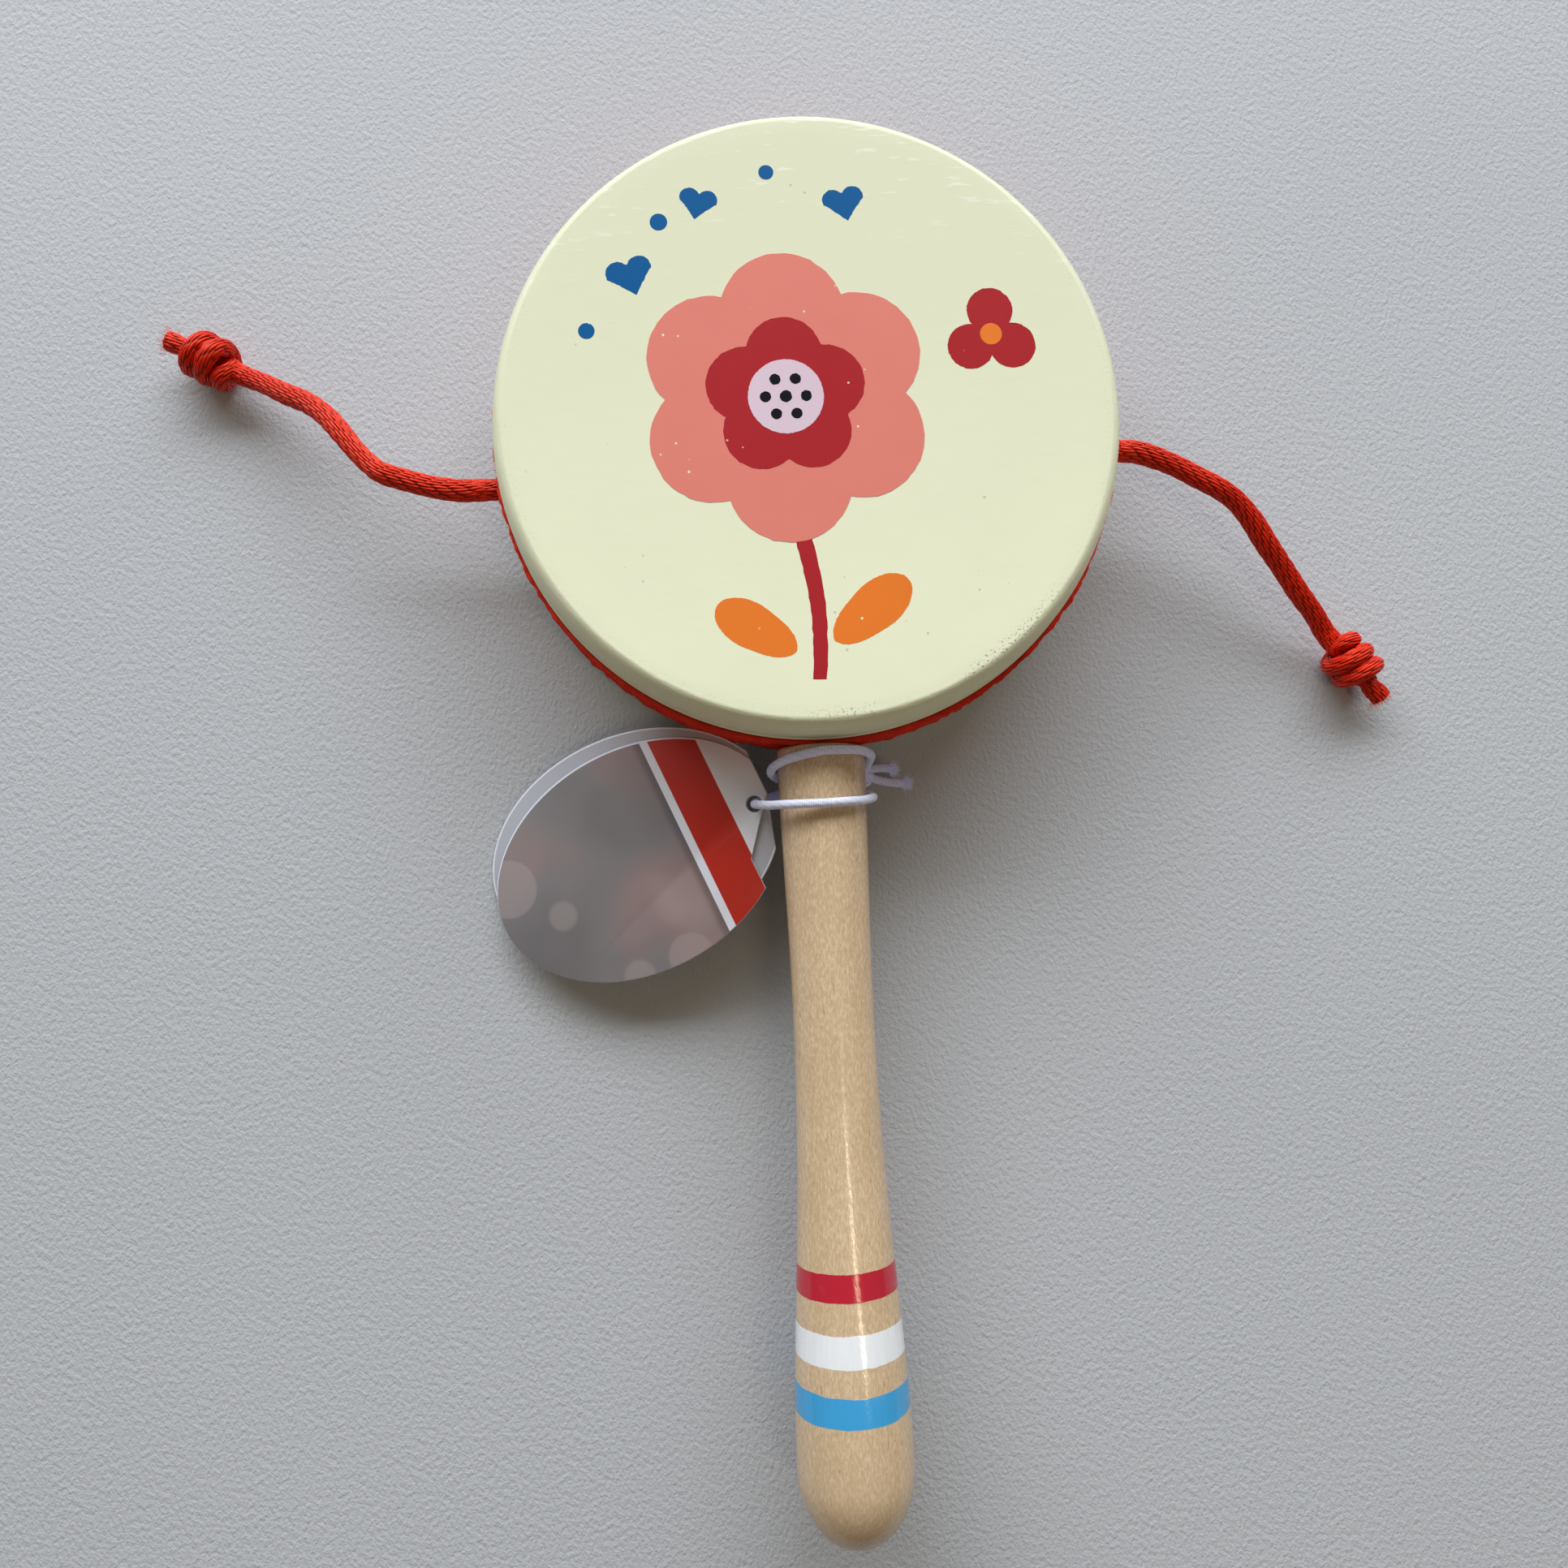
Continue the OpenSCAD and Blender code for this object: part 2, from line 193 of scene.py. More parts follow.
class Finish:
    """A material's nodes around one Principled shader."""

    def __init__(self, name, **shader):
        self.material = bpy.data.materials.new(name)
        self.material.use_nodes = True
        self.tree = self.material.node_tree
        self.tree.nodes.clear()
        self.shader = self.tree.nodes.new("ShaderNodeBsdfPrincipled")
        self.out = self.tree.nodes.new("ShaderNodeOutputMaterial")
        self.tree.links.new(self.shader.outputs["BSDF"], self.out.inputs["Surface"])
        for key, value in shader.items():
            self.feed(self.shader.inputs[key.replace("_", " ")], value)

    def feed(self, socket, value):
        if isinstance(value, Value):
            self.tree.links.new(value.socket, socket)
        elif hasattr(value, "__len__"):
            opaque = len(socket.default_value) == 4 and len(value) == 3
            socket.default_value = (*value, 1.0) if opaque else value
        else:
            socket.default_value = value

    def node(self, kind, settings=None, values=(), output=0):
        """Adds a node: its settings first, then the values or links of its sockets, by name or in order."""
        made = self.tree.nodes.new(kind)
        for name, setting in (settings or {}).items():
            if name == "stops":
                ramp = made.color_ramp
                while len(ramp.elements) < len(setting):
                    ramp.elements.new(1.0)
                for element, (place, shade) in zip(ramp.elements, setting):
                    element.position = place
                    element.color = (*shade, 1.0)
            else:
                setattr(made, name, setting)
        for key, value in values.items() if isinstance(values, dict) else enumerate(values):
            self.feed(made.inputs[key], value)
        return Value(self, made.outputs[output])

    def place(self):
        return self.node("ShaderNodeTexCoord", output="Object")

    def attribute(self, name):
        return self.node("ShaderNodeAttribute", {"attribute_name": name}, output="Fac")

    def mapped(self, at, location=(0, 0, 0), rotation=(0, 0, 0), scale=(1, 1, 1)):
        values = {"Vector": at, "Location": location, "Rotation": rotation, "Scale": scale}
        return self.node("ShaderNodeMapping", {}, values)

    def split(self, vector):
        made = self.tree.nodes.new("ShaderNodeSeparateXYZ")
        self.feed(made.inputs[0], vector)
        return [Value(self, socket) for socket in made.outputs]

    def noise(self, at, scale, detail=2.0, roughness=0.5):
        """Soft spots from 0 to 1. Places are in metres, so a scale of 1000 gives spots of about 1 mm."""
        values = {"Vector": at, "Scale": scale, "Detail": detail, "Roughness": roughness}
        return self.node("ShaderNodeTexNoise", {}, values)

    def cells(self, at, scale):
        return self.node("ShaderNodeTexVoronoi", {}, {"Vector": at, "Scale": scale})

    def mix(self, share, one, other):
        return self.node("ShaderNodeMix", {"data_type": "RGBA"}, {0: share, 6: one, 7: other}, output=2)

    def bump(self, height, distance, strength=1.0):
        return self.node("ShaderNodeBump", {}, {"Height": height, "Distance": distance, "Strength": strength})

    def wear(self, **sockets):
        for key, value in sockets.items():
            self.feed(self.shader.inputs[key.replace("_", " ")], value)
        return self.material


def shade(colour, factor):
    return tuple(min(1.0, c * factor) for c in colour)


def lacquer_finish(colour, face_radius):
    """Cream lacquer: orange peel, brush strokes, thin patches, dark specks where the edge is worn. Painted
    shade darkens the face towards its top and on the upper rim, and painted highlights lighten short strokes
    near the top.
    """
    f = Finish("cream_lacquer", Specular_IOR_Level=0.12, Coat_Roughness=0.14, Coat_IOR=1.5)
    at = f.place()
    x, y, z = f.split(at)
    rim = (x * x + y * y) ** 0.5
    round_rim = f.node("ShaderNodeCombineXYZ", {}, [x / rim * 9.0, y / rim * 9.0, (rim - z) * 620.0])
    sanded = f.noise(round_rim, 1.0, 3.0, 0.6) * rim.above(face_radius + 0.4 * MM, 0.8 * MM)
    patch = f.noise(at, 38.0, 3.0, 0.55)
    fine = f.noise(at, 420.0, 3.0, 0.6)
    worn = rim.between(face_radius - 1.0 * MM, face_radius + 1.0 * MM, 1.0 * MM)
    rubbed = (x * 0.42 - y * 0.91).above(face_radius * 0.92, face_radius * 0.16) * 0.9 + 0.1
    speck = f.noise(at, 2100.0, 2.0, 0.6).above(0.6, 0.08) * f.noise(at, 70.0, 2.0).above(0.46, 0.1) * rubbed
    glint = f.noise(at, 1300.0, 2.0, 0.6).above(0.6, 0.08) * worn * (x - 2 * y).above(0.06, 0.1)
    dust = (1 - f.cells(at, 330.0).above(0.085, 0.05)) * f.noise(at, 60.0, 1.0).above(0.62, 0.05)
    tone = f.mix(patch, shade(colour, 0.955), shade(colour, 1.035))
    # Painted shade: the face grows darker towards its top edge (+Y)
    tone = f.mix(y.above(0.0, 2 * face_radius), tone, shade(colour, 0.87))
    # Painted shade: the upper side of the rounded rim, which faces the light, is darkened
    painted_shade_upper_rim = (y / rim).above(0.3, 0.9) * rim.above(face_radius + 1.3 * MM, 1.6 * MM)
    tone = f.mix(painted_shade_upper_rim * 0.8, tone, shade(colour, 0.66))
    tone = f.mix(speck * worn * 0.8 + dust * 0.4, tone, srgb(116, 112, 96))
    strokes = f.noise(f.mapped(at, rotation=(0, 0, 30 * DEG), scale=(0.15, 1, 1)), 1050.0, 2.0, 0.5)
    # Painted highlights: short light strokes near the top of the face stand in for glints
    painted_glint_strokes = strokes.above(0.66, 0.08) * (y + rim * 0.4).above(0.05, 0.03)
    tone = f.mix(painted_glint_strokes * 0.42, tone, srgb(250, 252, 238))
    peel = f.noise(at, 260.0, 2.0, 0.5) * 0.6 + f.noise(at, 45.0, 2.0) * 0.9 + strokes * 0.35 + sanded * 3.5
    return f.wear(
        Base_Color=tone,
        Roughness=0.46 + fine * 0.16 + worn * 0.06,
        Coat_Weight=strokes.above(0.6, 0.16) * 0.14 + glint * 0.8 + 0.02,
        Normal=f.bump(peel, 0.06 * MM, 0.6),
    )


def ink_finish(name, colour, ground):
    """Screen ink: a flat colour with pinholes where the lacquer shows through."""
    f = Finish(name, Specular_IOR_Level=0.1)
    at = f.place()
    patch = f.noise(at, 55.0, 3.0, 0.6)
    pinholes = (1 - f.cells(at, 330.0).above(0.07, 0.05)) * f.noise(at, 90.0).above(0.55, 0.06)
    tone = f.mix(patch, shade(colour, 0.94), shade(colour, 1.05))
    return f.wear(
        Base_Color=f.mix(pinholes, tone, ground),
        Roughness=0.36 + patch * 0.12,
        Normal=f.bump(f.noise(at, 300.0, 2.0), 0.04 * MM, 0.5),
    )


def grain(f, at, along):
    """Long fibres, growth bands and short flecks along one axis of the wood: (fibres, bands, flecks)."""
    slow = [1.0, 1.0, 1.0]
    slow[along] = 0.04
    fine = [1.0, 1.0, 1.0]
    fine[along] = 0.32
    fibres = f.noise(f.mapped(at, scale=slow), 1400.0, 4.0, 0.6)
    bands = f.noise(f.mapped(at, scale=slow), 150.0, 3.0, 0.55)
    flecks = f.noise(f.mapped(at, (0.3, 0.1, 0.2), scale=fine), 2900.0, 2.0, 0.6)
    return fibres, bands, flecks


def wood_finish():
    """Bare sanded wood of the hoop."""
    colour = srgb(206, 182, 148)
    f = Finish("bare_wood", Specular_IOR_Level=0.3)
    fibres, bands, flecks = grain(f, f.place(), 0)
    tone = f.mix(bands, shade(colour, 0.82), shade(colour, 1.08))
    return f.wear(
        Base_Color=f.mix(flecks.above(0.62, 0.1) * 0.5, tone, shade(colour, 0.5)),
        Roughness=0.62 + fibres * 0.2,
        Normal=f.bump(fibres, 0.08 * MM, 0.6),
    )


# Where each stripe starts and ends, in millimetres from the drum's middle
STRIPES = ((145.8, 150.5), (155.7, 160.9), (165.4, 170.3))


def handle_finish(handle):
    """Varnished maple with three painted stripes. The varnish and its shine break up over the fibres."""
    f = Finish("varnished_maple", Specular_IOR_Level=0.6, Coat_Roughness=0.1, Coat_IOR=1.5)
    at = f.place()
    _, y, _ = f.split(at)
    fibres, bands, flecks = grain(f, at, 1)
    pores = f.noise(f.mapped(at, (0.7, 0.2, 0.5), scale=(1, 0.3, 1)), 1900.0, 1.0, 0.5)
    clouds = f.noise(f.mapped(at, scale=(1, 0.45, 1)), 170.0, 3.0, 0.6)
    tone = f.mix(bands.above(0.5, 0.6), shade(handle.wood, 0.9), shade(handle.wood, 1.06))
    tone = f.mix(clouds.above(0.55, 0.4) * 0.35, tone, srgb(206, 170, 126))
    tone = f.mix(fibres.above(0.5, 0.5) * 0.25, tone, shade(handle.wood, 0.78))
    tone = f.mix(flecks.above(0.5, 0.34) * 0.55, tone, shade(handle.wood, 0.66))
    tone = f.mix((1 - flecks).above(0.6, 0.24) * 0.3, tone, srgb(240, 222, 196))
    tone = f.mix(pores.above(0.72, 0.06) * 0.4, tone, srgb(150, 114, 80))
    tone = f.mix((-1 * y).above(0.183, 0.03) * 0.5, tone, shade(handle.wood, 0.62))
    ragged = y + (f.noise(at, 420.0, 3.0, 0.7) - 0.5) * 0.5 * MM + (f.noise(at, 70.0) - 0.5) * 0.8 * MM
    paint = None
    for colour, (near, far) in zip((handle.upper_stripe, handle.middle_stripe, handle.lower_stripe), STRIPES):
        stripe = ragged.between(-far * MM, -near * MM, 0.16 * MM)
        thin = f.noise(at, 120.0, 3.0, 0.6).above(0.36, 0.12) * 0.12 + 0.88
        tone = f.mix(stripe * thin, tone, f.mix(fibres, shade(colour, 0.9), shade(colour, 1.06)))
        paint = stripe if paint is None else paint + stripe
    ripple = f.noise(f.mapped(at, scale=(1, 0.5, 1)), 210.0, 2.0)
    height = flecks * 0.9 + fibres * 0.4 + ripple * 1.4 + paint * 0.4
    broken = f.noise(f.mapped(at, (0.4, 0.6, 0.1), scale=(1, 0.3, 1)), 1500.0, 2.0, 0.6)
    return f.wear(
        Base_Color=tone,
        Roughness=0.05 + flecks * 0.14,
        Coat_Weight=broken.above(0.58, 0.18) * 0.25,
        Normal=f.bump(height, 0.03 * MM, 0.7),
    )


def felt_finish(colour, half_width, head_radius):
    """Red wool felt, with painted shadow along both edges, where it goes under the heads."""
    sheen = {"Sheen_Weight": 0.3, "Sheen_Roughness": 0.5, "Sheen_Tint": shade(colour, 1.6)}
    f = Finish("red_felt", Specular_IOR_Level=0.15, **sheen)
    at = f.place()
    matted = f.noise(at, 800.0, 4.0, 0.7)
    clumps = f.noise(at, 240.0, 3.0, 0.6)
    tone = f.mix(clumps, shade(colour, 0.55), shade(colour, 1.25))
    tone = f.mix(matted.above(0.62, 0.12) * 0.5, tone, shade(colour, 1.7))
    x, y, z = f.split(at)
    # Painted shadow: the felt is darkened along its edges where it meets the heads' sides
    beside = 1 - ((x * x + y * y) ** 0.5).above(head_radius + 0.35 * MM, 0.4 * MM)
    painted_shadow_by_heads = (z - MID_Z).math("ABSOLUTE").above(half_width - 0.4 * MM, 0.3 * MM) * beside
    tone = f.mix(painted_shadow_by_heads * 0.85, tone, shade(colour, 0.12))
    relief = f.bump(matted + clumps, 0.3 * MM, 0.9)
    return f.wear(Base_Color=tone, Roughness=0.86 + matted * 0.1, Normal=relief)


def fibre_finish(name, colour, **shader):
    """Loose fibres of felt, cord or elastic."""
    f = Finish(name, Specular_IOR_Level=0.3, Sheen_Weight=0.3, **shader)
    tone = f.mix(f.noise(f.place(), 300.0, 2.0), shade(colour, 0.7), shade(colour, 1.35))
    return f.wear(Base_Color=tone, Roughness=0.6)


def satin_finish(colour):
    """Knitted satin cord: glossy filaments, with painted shade in the grooves between the stitches."""
    f = Finish("red_satin", Specular_IOR_Level=0.65, Specular_Tint=(1.0, 0.38, 0.2), Anisotropic=0.4)
    groove = f.attribute("groove")
    distance, around, _ = f.split(f.node("ShaderNodeUVMap", {"uv_map": "lay"}))
    turn = around * TURN
    ring = [turn.math("COSINE") * 14.0, turn.math("SINE") * 14.0, distance * 700.0]
    filaments = f.noise(f.node("ShaderNodeCombineXYZ", {}, ring), 1.0, 3.0, 0.6)
    slow = f.noise(f.place(), 130.0, 2.0)
    tone = f.mix(filaments, shade(colour, 0.7), shade(colour, 1.15))
    tone = f.mix(slow.above(0.5, 0.5) * 0.3, tone, shade(colour, 0.75))
    # Painted shade: the colour darkens deep in the grooves between the stitches
    tone = f.mix(groove.above(0.5, 0.5) * 0.85, tone, shade(colour, 0.16))
    return f.wear(
        Base_Color=tone,
        Roughness=0.3 + filaments * 0.14 + groove * 0.3,
        Normal=f.bump(filaments - groove * 0.6, 0.09 * MM, 0.6),
    )


# White yarn and paper are dyed with a brightener that turns some daylight blue; here that is painted light, a
# faint blue glow that shows in shade too
PAINTED_BLUE_GLOW = {"Emission_Color": (0.3, 0.4, 1.0), "Emission_Strength": 0.05}


def elastic_finish():
    colour = srgb(234, 236, 252)
    f = Finish("white_elastic", Specular_IOR_Level=0.35, Sheen_Weight=0.3, **PAINTED_BLUE_GLOW)
    groove = f.attribute("groove")
    tone = f.mix(f.noise(f.place(), 260.0, 2.0), shade(colour, 0.84), shade(colour, 1.08))
    return f.wear(
        # Painted shade: the colour darkens in the grooves between the wound turns
        Base_Color=f.mix(groove.above(0.5, 0.5) * 0.7, tone, srgb(158, 158, 184)),
        Roughness=0.55 + groove * 0.2,
        Normal=f.bump(1 - groove, 0.1 * MM, 0.6),
    )


def card_finish(tag, to_leaf, printed):
    """Coated card, white along its cut edge. The back leaf's face carries painted shade inside that edge. The
    front leaf is printed: a band, a line and a dusty ground.
    """
    f = Finish("printed_card" if printed else "white_card", Specular_IOR_Level=0.5, Coat_Roughness=0.25)
    at = f.place()
    pulp = f.noise(at, 700.0, 3.0, 0.6)
    tone = f.mix(pulp, shade(tag.paper, 0.97), shade(tag.paper, 1.02))
    own = f.mapped(at, *to_leaf)
    x, y, z = f.split(own)
    if not printed:
        # Painted shade: the back leaf's face is darkened, all but a white band along its cut edge
        oval = (x / (tag.length / 2 - CUT_EDGE)) ** 2 + (y / (tag.width / 2 - CUT_EDGE)) ** 2
        tone = f.mix(1 - oval.above(1.0, 0.008), tone, shade(tag.paper, 0.58))
    if printed:
        soft = f.noise(f.mapped(own, scale=(1, 1, 0)), 42.0, 2.0, 0.4)
        ground = f.node(
            "ShaderNodeValToRGB",
            {
                "stops": [
                    (0.2, srgb(112, 109, 112)),
                    (0.45, srgb(132, 127, 129)),
                    (0.62, srgb(152, 131, 131)),
                    (0.8, srgb(176, 158, 156)),
                ]
            },
            [soft + x * 6.0],
        )
        discs = f.cells(f.mapped(own, (0.013, 0.004, 0), scale=(1, 1, 0)), 62.0)
        ground = f.mix((1 - discs.above(0.4, 0.03)) * 0.3, ground, srgb(190, 176, 175))
        ground = f.mix((1 - discs.above(0.2, 0.03)) * 0.35, ground, srgb(168, 92, 86))
        oval = (x / (tag.length / 2)) ** 2 + ((y + CUT_EDGE) / (tag.width / 2)) ** 2
        inside = 1 - oval.above(1.0, 0.006)
        picture = (1 - x.above(GROUND_TO, 0.1 * MM)) * inside
        band = x.between(*BAND_FROM_TO, 0.1 * MM) * inside
        face = z.above(FOLD_R + tag.card - 0.03 * MM, 0.02 * MM)
        ground = f.mix(x.between(8.6 * MM, 10.4 * MM, 1.6 * MM) * 0.55, ground, srgb(84, 80, 84))
        tone = f.mix(picture * face, tone, ground)
        tone = f.mix(band * face, tone, f.mix(pulp, shade(tag.band, 0.95), shade(tag.band, 1.04)))
    return f.wear(
        Base_Color=tone,
        Roughness=0.34 + pulp * 0.1,
        Coat_Weight=0.2 + pulp * 0.05,
        Normal=f.bump(pulp, 0.02 * MM, 0.3),
    )


def floor_finish():
    """Pale floor with a fine relief, a little longer one way than the other."""
    f = Finish("pale_floor", Specular_IOR_Level=0.25)
    at = f.place()
    tone = f.mix(f.noise(at, 6.0, 2.0), srgb(180, 182, 187), srgb(190, 192, 196))
    dents = f.noise(f.mapped(at, rotation=(0, 0, 24 * DEG), scale=(1.15, 0.8, 1)), 1150.0, 2.0, 0.6)
    return f.wear(Base_Color=tone, Roughness=0.7, Normal=f.bump(dents, 0.27 * MM, 1.0))


# Modelling by hand


def deselect():
    if bpy.context.mode != "OBJECT":
        bpy.ops.object.mode_set(mode="OBJECT")
    bpy.ops.object.select_all(action="DESELECT")


def take(obj):
    """Makes an object the only one that operators act on."""
    deselect()
    obj.select_set(True)
    bpy.context.view_layer.objects.active = obj
    return obj


def primitive(add, name, **sizes):
    deselect()
    add(**sizes)
    obj = bpy.context.object
    obj.name = name
    obj.data.name = name
    return obj


def edit(obj):
    take(obj)
    bpy.ops.object.mode_set(mode="EDIT")
    return obj


def settle(obj):
    """Leaves edit mode and puts the object's place into its mesh."""
    take(obj)
    bpy.ops.object.transform_apply(location=True, rotation=True, scale=True)
    return obj


def place_points(obj, points):
    """In edit mode, puts the object's points where they are given, in their order."""
    mesh = bmesh.from_edit_mesh(obj.data)
    mesh.verts.ensure_lookup_table()
    for vert, point in zip(mesh.verts, points):
        vert.co = point
    bmesh.update_edit_mesh(obj.data)


def face_outwards():
    bpy.ops.mesh.select_all(action="SELECT")
    bpy.ops.mesh.normals_make_consistent(inside=False)


def thicken(height):
    """In edit mode, extrudes everything up by a height."""
    bpy.ops.mesh.select_all(action="SELECT")
    bpy.ops.mesh.extrude_region_move(TRANSFORM_OT_translate={"value": (0, 0, height)})
    face_outwards()


def plate(name, outline, low, height):
    """A flat solid over an outline, as rows of (x, y)."""
    add = bpy.ops.mesh.primitive_circle_add
    obj = primitive(add, name, vertices=len(outline), radius=1.0, fill_type="NGON")
    edit(obj)
    place_points(obj, [(x, y, low) for x, y in outline])
    thicken(height)
    return settle(obj)


def drill(vertices, radius, depth, place, rotation=(0, 0, 0)):
    """A round solid that cuts a hole."""
    return primitive(
        bpy.ops.mesh.primitive_cylinder_add, "hole",
        vertices=vertices, radius=radius, depth=depth, location=place, rotation=rotation,
    )


def modify(obj, kind, **settings):
    """Adds a modifier and applies it."""
    take(obj)
    bpy.ops.object.modifier_add(type=kind)
    modifier = obj.modifiers[-1]
    for name, value in settings.items():
        setattr(modifier, name, value)
    bpy.ops.object.modifier_apply(modifier=modifier.name)
    return obj


def carve(obj, *cutters):
    """Cuts other solids out of a piece and deletes them."""
    for cutter in cutters:
        settle(cutter)
        modify(obj, "BOOLEAN", operation="DIFFERENCE", solver="EXACT", object=cutter)
        bpy.data.objects.remove(cutter)
    return obj


def join(obj, *others):
    take(obj)
    for other in others:
        other.select_set(True)
    bpy.ops.object.join()
    return obj


def spun(name, profile, centre, axis, steps):
    """A turned piece: a row of (distance from the axis, place along it) spun about an axis across X."""
    obj = primitive(bpy.ops.mesh.primitive_circle_add, name, vertices=len(profile), radius=1.0)
    edit(obj)
    centre, axis = Vector(centre), Vector(axis)
    place_points(obj, [centre + Vector((radius, 0, 0)) + axis * place for radius, place in profile])
    mesh = bmesh.from_edit_mesh(obj.data)
    closing = [e for e in mesh.edges if {v.index for v in e.verts} == {0, len(profile) - 1}]
    bmesh.ops.delete(mesh, geom=closing, context="EDGES_FACES")
    bmesh.update_edit_mesh(obj.data)
    bpy.ops.mesh.select_all(action="SELECT")
    bpy.ops.mesh.spin(steps=steps, angle=TURN, center=centre, axis=axis)
    bpy.ops.mesh.select_all(action="SELECT")
    bpy.ops.mesh.remove_doubles(threshold=0.5e-6)
    face_outwards()
    return settle(obj)


def dress(obj, body, material, replaces=(), angle=35):
    """Gives a finished piece its shading, material, slot and body."""
    take(obj)
    bpy.ops.object.shade_smooth_by_angle(angle=angle * DEG)
    obj.data.materials.clear()
    obj.data.materials.append(material)
    if replaces:
        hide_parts(*replaces)
    if body:
        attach(obj, body)
    return obj


# Cords


def smooth_route(points, step):
    """A smooth curve through given points, with points a step apart."""
    p = np.array(points, float)
    gaps = np.linalg.norm(np.diff(p, axis=0), axis=1)
    t = np.concatenate([[0], np.cumsum(gaps)])
    slopes = np.gradient(p, t, axis=0, edge_order=1)
    fine = np.linspace(0, t[-1], max(8, int(t[-1] / step) * 4))
    i = np.clip(np.searchsorted(t, fine, side="right") - 1, 0, len(t) - 2)
    h = (t[i + 1] - t[i])[:, None]
    u = (fine - t[i])[:, None] / h
    curve = (
        (2 * u**3 - 3 * u**2 + 1) * p[i]
        + (u**3 - 2 * u**2 + u) * h * slopes[i]
        + (3 * u**2 - 2 * u**3) * p[i + 1]
        + (u**3 - u**2) * h * slopes[i + 1]
    )
    along = np.concatenate([[0], np.cumsum(np.linalg.norm(np.diff(curve, axis=0), axis=1))])
    even = np.linspace(0, along[-1], max(4, round(along[-1] / step) + 1))
    return np.stack([np.interp(even, along, curve[:, k]) for k in range(3)], axis=1)


def travel(path):
    return np.concatenate([[0], np.cumsum(np.linalg.norm(np.diff(path, axis=0), axis=1))])


def frames_along(path):
    """Directions across a path at each point, that don't twist from one to the next."""
    along = np.gradient(path, axis=0)
    along /= np.linalg.norm(along, axis=1)[:, None]
    across = np.cross(along[0], (0, 0, 1) if abs(along[0][2]) < 0.9 else (1, 0, 0))
    rows = []
    for direction in along:
        across = across - direction * (across @ direction)
        across /= np.linalg.norm(across)
        rows.append(across)
    first = np.array(rows)
    return first, np.cross(along, first)


def knit(distance, around, columns, stitch, seed):
    """Height from 0 to 1 of a knitted surface: rows of long narrow stitches that lean a little."""
    wander = np.sin(distance / (13 * MM) + seed) * 1.2 + np.sin(distance / (5.1 * MM) + 2 * seed) * 0.4
    place = around * columns + wander + distance / (14 * MM)
    row = np.floor(place) % columns
    across = place - np.floor(place) - 0.5
    lean = 0.26 + 0.16 * np.sin(2.3 * row)
    run = distance / stitch + 0.5 * (row % 2) + 0.3 * np.sin(5.3 * row + seed)
    run = run - np.floor(run) - 0.5
    body = np.clip(1 - ((across - lean * run) / 0.52) ** 2, 0, 1) ** 0.6
    return body * (0.35 + 0.65 * (1 - np.abs(2 * run) ** 3))


def wound(distance, around, columns, stitch, seed):
    """Height from 0 to 1 of an elastic's cover: fine yarn wound close round slanting threads."""
    turns = np.abs(np.sin(math.pi * (distance / stitch + around * columns + seed)))
    across = np.sin(TURN * (around * 4 - distance / (1.9 * MM)))
    return 0.25 + 0.65 * turns**0.8 + 0.1 * across


def lay_tube(name, path, radii, sides, surface, depth, columns, stitch, seed=0.0):
    """A cord along a path, with its knitted or wound surface in the mesh and closed ends."""
    path = np.array(path, float)
    radii = np.broadcast_to(radii, len(path)).astype(float)
    distance = travel(path)
    first, second = frames_along(path)
    around = np.arange(sides) / sides
    height = surface(distance[:, None], around[None, :], columns, stitch, seed)
    grow = radii[:, None] - depth * (1 - height) * np.clip(radii / radii.max(), 0.3, 1)[:, None]
    angle = around * TURN
    ring = np.cos(angle)[None, :, None] * first[:, None] + np.sin(angle)[None, :, None] * second[:, None]
    verts = (path[:, None] + grow[:, :, None] * ring).reshape(-1, 3)
    count = len(path)
    i, k = np.meshgrid(np.arange(count - 1), np.arange(sides), indexing="ij")
    a, b = i * sides + k, i * sides + (k + 1) % sides
    faces = np.stack([a, b, b + sides, a + sides], axis=2).reshape(-1, 4).tolist()
    ends = []
    for row, sign in ((0, -1), (count - 1, 1)):
        out = path[row] - path[row - sign]
        tip = path[row] + out / np.linalg.norm(out) * radii[row] * 0.35
        ends.append(tip)
        hub = count * sides + len(ends) - 1
        for k in range(sides):
            edge = [row * sides + k, row * sides + (k + 1) % sides]
            faces.append([hub, *(edge if sign > 0 else edge[::-1])])
    mesh = bpy.data.meshes.new(name)
    mesh.from_pydata(np.concatenate([verts, ends]).tolist(), [], faces)
    groove = mesh.attributes.new("groove", "FLOAT", "POINT")
    groove.data.foreach_set("value", np.concatenate([1 - height.ravel(), [0.5, 0.5]]).astype(np.float32))
    layer = mesh.uv_layers.new(name="lay")
    corners = np.zeros(len(mesh.loops), np.int32)
    mesh.loops.foreach_get("vertex_index", corners)
    rows = np.append(np.repeat(distance, sides), [distance[0], distance[-1]])
    turns = np.append(np.tile(around, count), [0.5, 0.5])
    uv = np.stack([rows[corners], turns[corners]], axis=1)
    closing = uv[: 4 * (count - 1) * sides].reshape(count - 1, sides, 4, 2)[:, -1, 1:3, 1]
    closing[:] = 1.0
    layer.data.foreach_set("uv", uv.astype(np.float32).ravel())
    obj = bpy.data.objects.new(name, mesh)
    bpy.context.scene.collection.objects.link(obj)
    return obj


